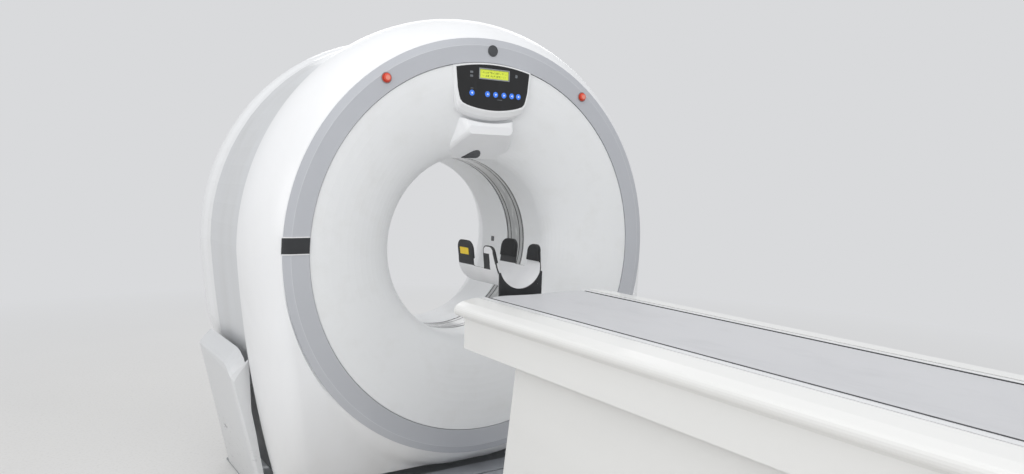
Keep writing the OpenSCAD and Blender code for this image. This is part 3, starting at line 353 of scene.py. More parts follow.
# Frames and base plates are welded steel in a matte grey powder coat, rubbed through to the metal
# in places.
powder = Finish("powder_coat")
pits = powder.noise(1100, detail=2)
rubbed = powder.noise(16, detail=7).above(0.62, 0.1)
powder.surface(powder.mix(powder.mix("8a8e92", "969a9d", pits), "c2c4c6", rubbed * 0.45),
               0.50 + 0.15 * pits - 0.12 * rubbed, pits, 0.0006, 0.35)
powder.set("Metallic", 0.05 + 0.7 * rubbed)
dress(powder, "base_plate", "main_frame", "table_base", "lift_frame", "slide_frame", "rotor_plate")

# Shafts, bearing rings and the pillar's tubes are ground or turned steel, with the fine marks of the
# tool round them and patches of oil.
ground = Finish("ground_steel", metallic=1.0)
turned = ground.noise(60, detail=4, stretch=(0.2, 8, 1))
oil = ground.noise(7, detail=5).above(0.55, 0.2)
ground.surface(ground.mix("b9bbbd", "8f8a80", oil * 0.4), 0.22 + 0.16 * turned + 0.1 * oil,
               turned, 0.0003, 0.2)
dress(ground, "trunnions", "bearing_outer", "bearing_inner", "pillar_middle", "motor_pulley")

# Gearmotor housings and the counterweight are sand castings in dark machine enamel, which has chipped
# here and there.
casting = Finish("machine_casting", metallic=0.3)
sandy = casting.noise(520, detail=4)
chipped = casting.noise(24, detail=7).above(0.66, 0.04)
casting.surface(casting.mix(casting.mix("3c4247", "4a5157", sandy), "8d8e8e", chipped),
                0.45 + 0.2 * sandy, sandy - chipped * 0.4, 0.0012, 0.5)
dress(casting, "tilt_gearmotor", "drive_motor", "counterweight")

# The slip ring's tracks are brass, polished by their brushes, on an insulating drum. The brush block
# beside it is laminated board, brown, with carbon dust on it.
track = Finish("brass_track", metallic=1.0)
worn_track = track.noise(40, detail=4, stretch=(0.3, 6, 0.3))
track.surface(track.mix("c9a45c", "8a6a36", worn_track.above(0.55, 0.2) * 0.6),
              0.22 + 0.25 * worn_track, worn_track, 0.0003, 0.3)
dress(track, "slip_ring")
board = Finish("brush_board")
plies = board.noise(5, detail=5, stretch=(1, 40, 1))
dust = board.noise(20, detail=6).above(0.5, 0.2)
board.surface(board.mix(board.mix("6c4526", "7f5632", plies), "2b2927", dust * 0.5),
              0.55 + 0.2 * dust, plies, 0.0004, 0.4)
dress(board, "brush_block")

# The X-ray tube, its collimator and the detector are housings in silver-grey enamel on lead-lined
# castings, and the cooler is finned aluminium.
housing = Finish("tube_housing", metallic=0.45)
housing.two_tone("9b9fa3", "b1b4b6", housing.noise(5, detail=5), 0.36, 0.15, 0.0006, 0.3, housing.noise(640))
dress(housing, "xray_tube", "collimator", "detector", "tube_cooler")

# The high-voltage tank is blue sheet steel, and the boxes of electronics are green. Dust has settled
# on both.
tank = Finish("tank_enamel", coat=0.2)
settled = tank.noise(6, detail=6).above(0.45, 0.4)
tank.surface(tank.mix("3f6285", "6d7f8d", settled * 0.35), 0.32 + 0.2 * settled,
             tank.noise(500, detail=2), 0.0005, 0.3)
dress(tank, "hv_tank")
crate = Finish("electronics_enamel", coat=0.15)
dusted = crate.noise(7, detail=6).above(0.45, 0.4)
crate.surface(crate.mix("2f6a50", "6f8578", dusted * 0.35), 0.34 + 0.2 * dusted,
              crate.noise(520, detail=2), 0.0005, 0.3)
dress(crate, "rotor_electronics")

# The front cover is one deep hand-laid moulding. Its edge is round over the upper half, and below the
# ring its face rolls back towards the floor. The construction shows that skin in facets, so a finer
# one of the same shape takes its place.
cover_low, cover_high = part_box("front_cover")
cover_r, cover_drop = cover_high[0], centre_z - cover_low[2]
rim_r, rim_y, flange_y = 0.780, 0.200, 0.010
lip_r, back_y, wall = 0.702, 0.215, 0.006
side_lean, side_bow, side_roll = 0.06, 0.125, 0.105
panel_flush, bend_drop, bend_sweep = 0.002, 0.400, 1.49
blend_drop, roll_band, foot_band = 0.3, 0.014, 0.012
axis_y, axis_drop, axis_height, full_tilt = 0.315, 0.480, 0.420, radians(30)
side_steps, foot_steps, outer_rows, inner_rows = 48, 20, 44, 14
edge_arc = ((cover_r - rim_r) ** 2 + (rim_y - flange_y) ** 2) / (2 * (cover_r - rim_r))


def side_at(r, z):
    """Half width of the gantry at a height z, for a radius r of its upper half."""
    return r + side_lean * z - side_bow * z * z


def soft_least(a, b, band):
    """The lesser of two values, rounded over where they come within a band of each other."""
    return min(a, b) - max(0, band - abs(a - b)) ** 2 / (4 * band)


def cover_face(x, z):
    """Depth of the skin: the round edge above, the rolled panel below, clear of the floor at full tilt."""
    radius = sqrt(x * x + z * z)
    front = flange_y if radius <= rim_r else rim_y
    if rim_r < radius < cover_r:
        front = rim_y - sqrt(edge_arc ** 2 - (radius - cover_r + edge_arc) ** 2)
    if z < 0:
        turn = min(1, max(0, 1 - (side_at(cover_r, z) - abs(x)) / side_roll))
        panel = panel_flush + max(0, -z - bend_drop) ** 2 / bend_sweep
        rolled = panel + (rim_y - panel) * (1 - sqrt(1 - turn * turn))
        share = min(1, -z / blend_drop)
        front += (soft_least(front, rolled, roll_band) - front) * share * share * (3 - 2 * share)
    clear = axis_y - (axis_height - (-z - axis_drop) * cos(full_tilt)) / sin(full_tilt)
    return min(rim_y, -soft_least(-front, -clear, foot_band))


def cover_outline(r, drop):
    """Outline (x, z) of the cover: a half circle, two leaning sides and a level foot."""
    foot = side_at(r, -drop)
    side = [(side_at(r, -drop * k / side_steps), -drop * k / side_steps) for k in range(1, side_steps + 1)]
    shape = [(r * cos(radians(k)), r * sin(radians(k))) for k in range(181)]
    shape += [(-x, z) for x, z in side]
    shape += [(foot * (k / foot_steps - 1), -drop) for k in range(1, 2 * foot_steps)]
    return shape + side[::-1]


def drawn_in(shape, r):
    """The circle of a radius r, with a point for each point of an outline."""
    return [(x * r / sqrt(x * x + z * z), z * r / sqrt(x * x + z * z)) for x, z in shape]


def join_rings(mesh, rings):
    """Adds the faces between neighbouring closed rings of points."""
    for near, far in zip(rings, rings[1:]):
        for k in range(len(near)):
            after = (k + 1) % len(near)
            mesh.faces.new((near[k], near[after], far[after], far[k]))


def build(name, mesh, body, finish, angle=35):
    """Turns a bmesh into a piece on a body, with a finish, smooth where faces meet below the angle."""
    bmesh.ops.recalc_face_normals(mesh, faces=mesh.faces)
    data = bpy.data.meshes.new(name)
    mesh.to_mesh(data)
    mesh.free()
    piece = bpy.data.objects.new(name, data)
    bpy.context.collection.objects.link(piece)
    data.materials.append(finish.material)
    for face in data.polygons:
        face.use_smooth = True
    data.set_sharp_from_angle(angle=radians(angle))
    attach(piece, body)
    return piece


cover_skin = bmesh.new()
cover_rows = []
for depth, shares in ((0.0, [sin(pi / 2 * k / outer_rows) for k in range(1, outer_rows + 1)]),
                      (wall, [1 - k / inner_rows for k in range(inner_rows)])):
    far = cover_outline(cover_r - depth, cover_drop - depth)
    near = drawn_in(far, rim_r + 0.001)
    flat = [[(x, flange_y + depth, z) for x, z in shape] for shape in (drawn_in(far, lip_r), near)]
    skin_rows = []
    for share in shares:
        between = [(a[0] + (b[0] - a[0]) * share, a[1] + (b[1] - a[1]) * share) for a, b in zip(near, far)]
        skin_rows.append([(x, cover_face(x, z) + depth, z) for x, z in between])
    back = [(x, back_y, z) for x, z in far]
    cover_rows += [back] + skin_rows + flat[::-1] if depth else flat + skin_rows + [back]
cover_rings = [[cover_skin.verts.new(gantry(*point)) for point in row] for row in cover_rows]
join_rings(cover_skin, cover_rings + cover_rings[:1])
front_cover = build("front_cover_skin", cover_skin, "tilt_frame", enamel)
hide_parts("front_cover")

# The control panel's face is a black film keypad over a moulded tray, glossy from wiping, with
# fine scratches round its buttons.
keypad = Finish("keypad_film", coat=0.15)
scratches = keypad.noise(70, detail=6, stretch=(1, 1, 0.15)).above(0.62, 0.06)
prints = keypad.noise(22, detail=5).above(0.52, 0.25)
keypad.surface(keypad.mix("0c0c0e", "222326", scratches * 0.3 + prints * 0.10),
               0.28 + 0.18 * prints + 0.15 * scratches, keypad.noise(300, detail=2), 0.0002, 0.2)
dress(keypad, "control_panel")
panel_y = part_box("control_panel")[0][1] - front_y

# The display is a lit liquid-crystal window, yellow-green, in a thin grey frame. Its cells are
# plain dark blocks.
cell_w, row_h, first_row = 0.0068, 0.0125, 0.6355
glow = Finish("display_cells", coat=0.4)
glow_x, glow_z = glow.along("X"), glow.along("Z") - centre_z


def blocks(cells, start, end):
    """1 within a share of each cell, from start to end, and 0 between."""
    part = glow.node("ShaderNodeMath", {"operation": "FRACT"}, {0: cells})
    return part.above(start, 0.05) * (1 - part.above(end, 0.05))


ink = blocks(glow_x / cell_w, 0.24, 0.86) * blocks((glow_z - first_row) / row_h, 0.18, 0.72)
marks = ink * glow.noise(230, detail=0).above(0.50, 0.02) * (1 - (glow_x * glow_x * 290 - 0.2).clip())
lit = glow.mix(glow.mix("b9c832", "ccd544", glow.noise(30)), "4c5a1e", marks * 0.85)
glow.surface(lit, 0.2 + 0.1 * glow.noise(40), glow.noise(500), 0.0001, 0.1)
glow.set("Emission Color", lit)
glow.set("Emission Strength", 0.35)
dress(glow, "display")


def loft(mesh, rings):
    """Adds a closed form along rings of points, with a flat face at each end."""
    join_rings(mesh, rings)
    mesh.faces.new(rings[0])
    mesh.faces.new(rings[-1][::-1])


def add_slab(mesh, outline, back, front, edge=0.0):
    """Adds a plate with the outline (x, z) between two depths; its front edge is bevelled."""
    middle = Vector((sum(x for x, z in outline), sum(z for x, z in outline))) / len(outline)
    reach = max((Vector(point) - middle).length for point in outline)
    rows = [(back, 0.0), (front + edge, 0.0), (front + edge * 0.3, edge * 0.3), (front, edge)]
    rings = []
    for depth, inset in rows:
        share = 1 - inset / reach
        rings.append([mesh.verts.new(gantry(middle.x + (x - middle.x) * share, depth,
                                            middle.y + (z - middle.y) * share)) for x, z in outline])
    loft(mesh, rings)


def rounded(width, height, radius, centre=(0, 0), steps=6):
    """Outline of a rectangle with round corners."""
    corners = []
    for quarter in range(4):
        side = (1 if quarter in (0, 3) else -1, 1 if quarter in (0, 1) else -1)
        for step in range(steps + 1):
            angle = (quarter + step / steps) * pi / 2
            corners.append((centre[0] + side[0] * (width / 2 - radius) + radius * cos(angle),
                            centre[1] + side[1] * (height / 2 - radius) + radius * sin(angle)))
    return corners


def front_of(node):
    """Middle x and z, width and height of a CAD node, as places in the gantry."""
    low_corner, high_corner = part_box(node)
    return ((low_corner[0] + high_corner[0]) / 2, (low_corner[2] + high_corner[2]) / 2 - centre_z,
            high_corner[0] - low_corner[0], high_corner[2] - low_corner[2])


frame_grey = Finish("display_frame_grey")
frame_grey.two_tone("85888c", "94979a", frame_grey.noise(600, detail=2), 0.4, 0.15, 0.0003, 0.3)
display_x, display_z, display_w, display_h = front_of("display")
bar, bar_r, bar_proud, bar_edge, sunk = 0.004, 0.0012, 0.0016, 0.0006, 0.0001
bars = bmesh.new()
for side in (-1, 1):
    level = rounded(display_w + 2 * bar, bar, bar_r, (display_x, display_z + side * (display_h + bar) / 2))
    upright = rounded(bar, display_h, bar_r, (display_x + side * (display_w + bar) / 2, display_z))
    for outline in (level, upright):
        add_slab(bars, outline, panel_y - sunk, panel_y - bar_proud, bar_edge)
build("display_frame", bars, "tilt_frame", frame_grey)

# Six round keys of blue translucent plastic with a domed cap, each in a blue rim. Each has a plain
# pale mark, such as an arrow or a bar, moulded through the cap. The keys and their rims have a
# faint painted glow.
glowing_key_blue = Finish("glowing_key_blue", coat=0.4)
glowing_key_blue.two_tone("2f6fe0", "4b8cf2", glowing_key_blue.noise(120), 0.2, 0.15, 0.0002, 0.2)
# A painted glow: the keys and their rims give off a faint blue light.
glowing_key_blue.set("Emission Color", paint("2f6fe0"))
glowing_key_blue.set("Emission Strength", 0.25)
dress(glowing_key_blue, *(f"panel_button_{i}" for i in range(1, 7)))
mark_white = Finish("key_mark")
mark_white.two_tone("dfe8fb", "f2f6ff", mark_white.noise(300, detail=2), 0.3, 0.1, 0.0001, 0.2)


def arrow(x, z, size, turn):
    """A triangle that points up, turned about its centre."""
    return [(x + size * sin(radians(turn + a)), z + size * cos(radians(turn + a))) for a in (0, 125, 235)]


def round_angles(count):
    """Angles that share out a full turn."""
    return [2 * pi * t / count for t in range(count)]


def add_turned(mesh, x, z, profile, count=48):
    """Adds a turned ring round a centre, from its profile (r, y)."""
    rows = [[mesh.verts.new(gantry(x + r * cos(a), y, z + r * sin(a))) for r, y in profile]
            for a in round_angles(count)]
    join_rings(mesh, rows + rows[:1])


dot_w, dot_r, arrow_size, mark_proud = 0.0066, 0.003, 0.0052, 0.0004
rim_out, rim_in, rim_proud = 0.0030, 0.0004, 0.0012
for i, turn in zip(range(1, 7), (None, 0, 180, 90, 270, None)):
    key_x, key_z, key_w, _ = front_of(f"panel_button_{i}")
    key_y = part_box(f"panel_button_{i}")[0][1] - front_y
    dot = rounded(dot_w, dot_w, dot_r, (key_x, key_z))
    mark = bmesh.new()
    add_slab(mark, dot if turn is None else arrow(key_x, key_z, arrow_size, turn),
             key_y + 0.0002, key_y - mark_proud)
    build(f"key_mark_{i}", mark, f"button_{i}", mark_white)
    outer, inner = key_w / 2 + rim_out, key_w / 2 + rim_in
    rim = bmesh.new()
    add_turned(rim, key_x, key_z, [(r, panel_y - out) for r, out in (
        (outer, sunk), (outer, 0.0007), (outer - 0.0005, rim_proud), (inner, rim_proud), (inner, sunk))], 40)
    build(f"key_rim_{i}", rim, "tilt_frame", glowing_key_blue)

# Small indicator windows stand beside the display, grey when unlit, and short printed bars stand
# above and below the keys.
lens = Finish("indicator_lens", coat=0.3)
lens.two_tone("54575b", "74787c", lens.noise(200), 0.25, 0.1, 0.0001, 0.2)
lenses = bmesh.new()
for x, z, w, h in ((-0.096, 0.650, 0.013, 0.008), (-0.096, 0.636, 0.013, 0.008), (0.100, 0.650, 0.010, 0.012),
                   (-0.093, 0.592, 0.012, 0.0022), (0.028, 0.557, 0.022, 0.0020)):
    add_slab(lenses, rounded(w, h, min(w, h) * 0.3, (x, z)), panel_y - sunk, panel_y - 0.0006, 0.0003)
build("panel_indicators", lenses, "tilt_frame", lens)

# The emergency stops are red mushroom caps on red collars, each in a grey ferrule that is pushed
# through the ring. The red plastic has dulled, and is paler where thumbs rub it. The pale crown of
# each cap is a painted highlight.
stop_x, stop_z, stop_w, _ = front_of("right_stop_button")
highlight_r, highlight_band = 0.0085, 0.003
stop_red = Finish("stop_red", coat=0.2)
thumbed = stop_red.noise(90, detail=5).above(0.5, 0.3)
off_axis = (stop_red.along("X").size() - stop_x).span(stop_red.along("Z") - (centre_z + stop_z))
# A painted highlight: a pale disc round the axis of each cap.
crown_highlight = 1 - off_axis.above(highlight_r, highlight_band)
cap_tone = stop_red.mix("dd3a22", "ea7054", thumbed * 0.4)
stop_red.surface(stop_red.mix(cap_tone, "f0a592", crown_highlight * 0.7), 0.28 + 0.2 * thumbed,
                 stop_red.noise(400), 0.0002, 0.3)
dress(stop_red, "left_stop_button", "right_stop_button")
collar_red = Finish("stop_collar_red", coat=0.1)
collar_red.two_tone("c5402c", "d4553e", collar_red.noise(220), 0.36, 0.15, 0.0003, 0.3)
dress(collar_red, "stop_bezels")
ferrule_profile = [(stop_w / 2 + out, y) for out, y in (
    (0.0068, 0.0001), (0.0068, -0.0010), (0.0060, -0.0017), (0.0042, -0.0017), (0.0042, 0.0001))]
ferrules = bmesh.new()
for side in (-1, 1):
    add_turned(ferrules, side * stop_x, stop_z, ferrule_profile)
build("stop_ferrules", ferrules, "tilt_frame", frame_grey)

# A laser that lines up the patient shines through a smoked window under the visor, and its two
# side ports are small smoked windows in the bore.
smoked = Finish("smoked_window", coat=0.6)
smoked.two_tone("3b3c3e", "515356", smoked.noise(50), 0.1, 0.12, 0.0002, 0.1)
dress(smoked, "laser_window")
liner_low, liner_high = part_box("bore_liner")
liner_wall = 0.004
bore_r = (liner_high[0] - liner_low[0]) / 2 - liner_wall
port_y, port_z, port_half, port_thick = 0.52, -0.01, 0.011, 0.0016
port_corners = [(port_y + y * port_half, port_z + z * port_half)
                for y, z in ((-1, -1), (1, -1), (1, 1), (-1, 1))]
ports = bmesh.new()
for side in (-1, 1):
    loft(ports, [[ports.verts.new(gantry(side * (sqrt(bore_r ** 2 - z * z) - depth), y, z))
                  for y, z in port_corners] for depth in (0.0, port_thick)])
build("side_laser_ports", ports, "tilt_frame", smoked)

# A black plate wraps the left of the ring, with a thin white line above and below. It stays bare.
# It is thin aluminium sheet, bent over the ring's bevel and glued down.
plate_black = Finish("plate_black", coat=0.2)
plate_black.two_tone("1f2023", "2c2e31", plate_black.noise(30, detail=5), 0.3, 0.2, 0.0002, 0.2,
                     plate_black.noise(500))
plate_white = Finish("plate_white")
plate_white.two_tone("dcdcdd", "eaeaea", plate_white.noise(80, detail=4), 0.35, 0.1, 0.0002, 0.2)
ring_outer = (ring_high[0] - ring_low[0]) / 2
ring_inner = 0.692
plate_low, plate_high, plate_lift, glue_depth = 0.004, 0.056, 0.0022, 0.0006
line_w, line_gap, line_lift = 0.0036, 0.0004, 0.0020


def ring_strip(mesh, z_low, z_high, lift):
    """A thin strip on the left of the ring between two heights, following the ring's bevel."""
    section = ((ring_inner + 0.001, 0.0), (ring_outer - 0.026, 0.0), (ring_outer - 0.0005, 0.0065),
               (ring_outer + 0.004, 0.0095))
    edges = ((z_low, -glue_depth), (z_high, -glue_depth), (z_high, lift), (z_low, lift))
    loft(mesh, [[mesh.verts.new(gantry(-sqrt(r * r - z * z), y - out, z)) for z, out in edges]
                for r, y in section])


strip = bmesh.new()
ring_strip(strip, plate_low, plate_high, plate_lift)
build("side_plate", strip, "tilt_frame", plate_black, 20)
lines = bmesh.new()
ring_strip(lines, plate_low - line_gap - line_w, plate_low - line_gap, line_lift)
ring_strip(lines, plate_high + line_gap, plate_high + line_gap + line_w, line_lift)
build("side_plate_lines", lines, "tilt_frame", plate_white, 20)

# A round boss marks the top of the ring. It is a plain turned disc, dark grey and bare, with a groove
# near its edge.
boss_r, boss_z = 0.021, 0.736
boss_profile = ((boss_r - 0.006, -0.0028), (boss_r - 0.005, -0.0020), (boss_r - 0.003, -0.0020),
                (boss_r - 0.002, -0.0030), (boss_r - 0.0006, -0.0030), (boss_r, -0.0022), (boss_r, 0.0004))
boss = bmesh.new()
loft(boss, [[boss.verts.new(gantry(r * cos(a), y, boss_z + r * sin(a))) for a in round_angles(48)]
            for r, y in boss_profile])
boss_dark = Finish("boss_dark", coat=0.15)
boss_dark.two_tone("3c3e41", "4a4c50", boss_dark.noise(240), 0.36, 0.15, 0.0003, 0.3)
build("bare_boss", boss, "tilt_frame", boss_dark, 25)

# The table's covers are the same white enamel over folded sheet, a shade warmer than the gantry,
# with the long wipe marks of daily cleaning.
table_paint = Finish("table_enamel", coat=0.3)
wipes = table_paint.noise(5, detail=6, stretch=(1, 0.15, 1)).above(0.55, 0.3)
bay = table_paint.noise(2.0)
knocks = table_paint.noise(34, detail=7, roughness=0.6).above(0.69, 0.03)
low_table = (1 - table_paint.along("Z") * 4).clip()
table_tone = table_paint.mix("e8e8e6", "edecea", bay)
table_aged = table_paint.mix(table_tone, "dcdad7", wipes * 0.2 + low_table * 0.3)
table_paint.surface(table_paint.mix(table_aged, "9d9a95", knocks * low_table * 0.6),
                    0.28 + 0.14 * wipes + 0.1 * low_table,
                    table_paint.noise(420, detail=2) * 0.4 + bay * 0.6, 0.0007, 0.2)
dress(table_paint, "table_shell", "middle_skirt", "base_skirt")

# The cradle is a carbon laminate trough with a satin grey gel coat. It is scrubbed after each
# patient, along its length.
gel = Finish("cradle_gel_coat", coat=0.3)
scrubbed = gel.noise(9, detail=6, stretch=(1, 0.3, 1)).above(0.52, 0.3)
gel.surface(gel.mix("e6e6e7", "d6d7d8", scrubbed * 0.5), 0.3 + 0.18 * scrubbed,
            gel.noise(650, detail=2), 0.0004, 0.25)
dress(gel, "cradle")

# The mattress is a foam pad in welded grey vinyl, moulded to the cradle's trough. Its end has large
# round corners, dark piping runs along both long sides, and the pad swells between its seams.
mat_low, mat_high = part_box("mattress")
mat_half = (mat_high[0] - mat_low[0]) / 2
mat_front, mat_back = mat_high[1], mat_low[1]
trough, thick, inset, side_share = 0.016, 0.0144, 0.003, 0.994
end_sweep, end_length, end_fill = 0.040, 0.30, 0.7


def mat_end(x):
    """Where the end of the mattress lies at x: nearly straight, with large round corners."""
    return mat_front - end_sweep * (x / mat_half) ** 6


across, along_count = 32, 150
pad = bmesh.new()
pad_rows = {}
for layer in (0, 1):
    for j in range(along_count + 1):
        line = []
        for i in range(across + 1):
            x = mat_half * (2 * i / across - 1) * side_share
            share = j / along_count
            y = mat_back + inset + (mat_end(x) - inset - mat_back - inset) * share
            filled = max(0, 1 - (mat_front - y) / end_length) ** 2 * (0 if layer else end_fill)
            z = -trough * (1 - filled) * (1 - (x / mat_half) ** 2) + (mat_high[2] - centre_z)
            if layer:
                z -= thick
            line.append(pad.verts.new((x, y, centre_z + z)))
        pad_rows[layer, j] = line
for j in range(along_count):
    for i in range(across):
        top_a, top_b = pad_rows[0, j], pad_rows[0, j + 1]
        low_a, low_b = pad_rows[1, j], pad_rows[1, j + 1]
        pad.faces.new((top_a[i], top_a[i + 1], top_b[i + 1], top_b[i]))
        pad.faces.new((low_a[i], low_b[i], low_b[i + 1], low_a[i + 1]))
for j in range(along_count):
    for i in (0, across):
        pad.faces.new((pad_rows[0, j][i], pad_rows[0, j + 1][i], pad_rows[1, j + 1][i], pad_rows[1, j][i]))
for i in range(across):
    for j in (0, along_count):
        pad.faces.new((pad_rows[0, j][i], pad_rows[0, j][i + 1], pad_rows[1, j][i + 1], pad_rows[1, j][i]))
vinyl_pad = Finish("mattress_vinyl", coat=0.05)
leather_grain = vinyl_pad.node("ShaderNodeTexVoronoi", {}, {"Vector": vinyl_pad.place(), "Scale": 620.0})
creases = vinyl_pad.noise(16, detail=6, roughness=0.6, stretch=(1, 0.35, 1))
pressed = vinyl_pad.noise(3, detail=4)
vinyl_tone = vinyl_pad.mix("c4c4c7", "cfcfd1", pressed)
vinyl_pad.surface(vinyl_pad.mix(vinyl_tone, "adadb0", creases.above(0.60, 0.2) * 0.18),
                  0.42 + 0.18 * pressed, leather_grain * 0.35 + creases * 0.65, 0.0016, 0.45)
mattress = build("mattress_pad", pad, "cradle", vinyl_pad, 60)


def swell(piece, cap, pressure=4.0, frames=14):
    """Lets a closed cover fill like a padded one, and keeps each point within cap of its start."""
    start = [v.co.copy() for v in piece.data.vertices]
    cloth = piece.modifiers.new("padding", "CLOTH")
    fabric = {"quality": 5, "mass": 0.3, "use_pressure": True, "uniform_pressure_force": pressure,
              "tension_stiffness": 18, "compression_stiffness": 12, "bending_stiffness": 0.4}
    for key, value in fabric.items():
        setattr(cloth.settings, key, value)
    cloth.settings.effector_weights.gravity = 0
    cloth.point_cache.frame_end = frames
    for step in range(1, frames + 1):
        scene.frame_set(step)
    filled = piece.evaluated_get(bpy.context.evaluated_depsgraph_get()).data
    moved = [v.co.copy() for v in filled.vertices]
    piece.modifiers.remove(cloth)
    for vertex, was, now in zip(piece.data.vertices, start, moved):
        shift = now - was
        if shift.length > cap:
            shift *= cap / shift.length
        vertex.co = was + shift
    scene.frame_set(1)


swell(mattress, 0.0035)
for vertex in mattress.data.vertices:
    seat = mat_high[2] - thick - trough * (1 - min(1, (vertex.co.x / mat_half) ** 2))
    vertex.co.z = max(vertex.co.z, seat - 0.0002)
    vertex.co.x = max(-mat_half, min(mat_half, vertex.co.x))
soft_edge = mattress.modifiers.new("soft_edge", "SUBSURF")
soft_edge.levels = soft_edge.render_levels = 1
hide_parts("mattress")

piping_r, piping_out, piping_drop, piping_rows, piping_sides = 0.0021, 0.0012, 0.0032, 90, 8
piping_black = Finish("piping_black")
piping_black.two_tone("2a2b2d", "434447", piping_black.noise(160, detail=4), 0.45, 0.15, 0.0004, 0.3)
piping = bmesh.new()
for side in (-1, 1):
    seam_x, seam_z = side * (mat_half + piping_out), mat_high[2] - piping_drop
    rings = []
    for k in range(piping_rows + 1):
        y = mat_back + 0.004 + (mat_end(mat_half) - mat_back - 0.006) * k / piping_rows
        rings.append([piping.verts.new((seam_x + piping_r * cos(a), y, seam_z + piping_r * sin(a)))
                      for a in round_angles(piping_sides)])
    loft(piping, rings)
build("mattress_piping", piping, "cradle", piping_black, 60)

# The head holder is a moulded carbon shell with a pale gel coat and black rims. Its trough rises into
# four round-topped ears, and its foot is a black plate on a carrier that slides into the cradle. The
# construction's foot stands out too far, so this one takes its place.
holder_r, trough_r, trough_z = 0.097, 0.092, -0.030
ear_top, low_wall, lean_out = 0.029, -0.055, 0.008 / 0.060
near_start, near_end, near_round, near_slant = -0.1985, -0.128, 0.026, 0.2986
far_start, far_end, far_round, far_rise = -0.050, 0.052, 0.034, 0.008
fillet, wall_steps, arc_steps = 0.009, 4, 36
band, mask_edge, bend_edge = 0.002, 0.0004, 0.0005
shell_coat = Finish("holder_shell", coat=0.25)
shell_tone = shell_coat.noise(14, detail=5)
shell_y, shell_z = shell_coat.along("Y") - front_y, shell_coat.along("Z") - centre_z
shell_x = shell_coat.along("X").size() - (shell_z - trough_z).most(0) * lean_out
shell_r = shell_x.span((shell_z - trough_z).least(0))
on_rim = shell_r.above(trough_r + 0.0004, 0.0002) * (1 - shell_r.above(holder_r - 0.0006, 0.0002))
far_ear = shell_y.above(far_start - 0.0025, mask_edge) * shell_z.above(low_wall + band, mask_edge)
above_wall = shell_z.above(low_wall - band, mask_edge)
off_side = ((shell_y - (near_start + near_end) / 2).size()
            - ((near_end - near_start) / 2 - near_round)).most(0)
off_top = (shell_z - (ear_top - near_round)).most(0)
round_edge = off_side.span(off_top).above(0.0222, bend_edge) * shell_z.above(ear_top - near_round, 0.0002)
slanted = shell_y - near_start - (shell_z - 0.002).least(0) * near_slant
gantry_side = shell_y.above(near_end - 2 * band, mask_edge) * above_wall
near_edge = round_edge + 1 - slanted.above(0.0042, bend_edge) + gantry_side
notch = shell_y.above(-0.168, mask_edge) * above_wall * (1 - shell_z.above(0.0, mask_edge))
outside = shell_r.above(trough_r + 0.0025, 0.0002) * (1 - shell_y.above(near_end + 2 * band, mask_edge))
lining = (round_edge + 1 - slanted.above(0.0065, bend_edge)).clip() * shell_z.above(trough_z - 2 * band, mask_edge)
black_part = (on_rim + far_ear + (near_edge + notch).clip() * outside + lining).clip()
pale = shell_coat.mix("dcdcde", "e8e8e9", shell_tone)
dark = shell_coat.mix("1a1b1d", "2a2b2d", shell_tone)
shell_coat.surface(shell_coat.mix(pale, dark, black_part), 0.3 + 0.16 * shell_tone + 0.15 * black_part,
                   shell_coat.noise(700, detail=2), 0.0004, 0.25)

wall_line = [(-0.2200, -0.070), (-0.2140, -0.053), (-0.2080, -0.033), (-0.2030, -0.014),
             (far_start + 0.0001, low_wall + 0.0095), (0.0521, low_wall), (0.0550, low_wall)]
for start, end, top, r in ((near_start, near_end, ear_top, near_round),
                           (far_start, far_end, ear_top + far_rise, far_round)):
    for k in range(11):
        rise, height = r - r * cos(radians(9 * k)), top - r + r * sin(radians(9 * k))
        wall_line += [(start + rise, height), (end - rise, height)]
for foot, way in ((near_end + 0.0001, 1), (far_start, -1)):
    for k in range(5):
        bend = radians(22.5 * k)
        wall_line.append((foot + way * (0.0002 + fillet * (1 - cos(bend))), low_wall + fillet * (1 - sin(bend))))
holder = bmesh.new()
holder_rows = []
for y, wall_top in sorted(wall_line):
    pair = []
    for radius in (trough_r, holder_r):
        first = degrees(asin(max(0.0, trough_z - wall_top) / radius))
        run = [(radius + (wall_top - trough_z) * (1 - k / wall_steps) * lean_out,
                wall_top + (trough_z - wall_top) * k / wall_steps) if wall_top > trough_z
               else (radius * cos(radians(first)), wall_top) for k in range(wall_steps)]
        turns = [radians(first + (180 - 2 * first) * k / arc_steps) for k in range(arc_steps + 1)]
        arc_run = [(radius * cos(turn), trough_z - radius * sin(turn)) for turn in turns]
        run = run + arc_run + [(-x, z) for x, z in run[::-1]]
        pair.append([holder.verts.new(gantry(x, y, z)) for x, z in run])
    holder_rows.append(pair)
for (inner_a, outer_a), (inner_b, outer_b) in zip(holder_rows, holder_rows[1:]):
    for k in range(len(inner_a) - 1):
        holder.faces.new((inner_a[k], inner_a[k + 1], inner_b[k + 1], inner_b[k]))
        holder.faces.new((outer_a[k], outer_b[k], outer_b[k + 1], outer_a[k + 1]))
    for k in (0, -1):
        holder.faces.new((inner_a[k], inner_b[k], outer_b[k], outer_a[k]))
for inner_end, outer_end in (holder_rows[0], holder_rows[-1]):
    for k in range(len(inner_end) - 1):
        holder.faces.new((inner_end[k], inner_end[k + 1], outer_end[k + 1], outer_end[k]))
holder_shell = build("holder_shell", holder, "cradle", shell_coat, 40)
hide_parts("head_holder")

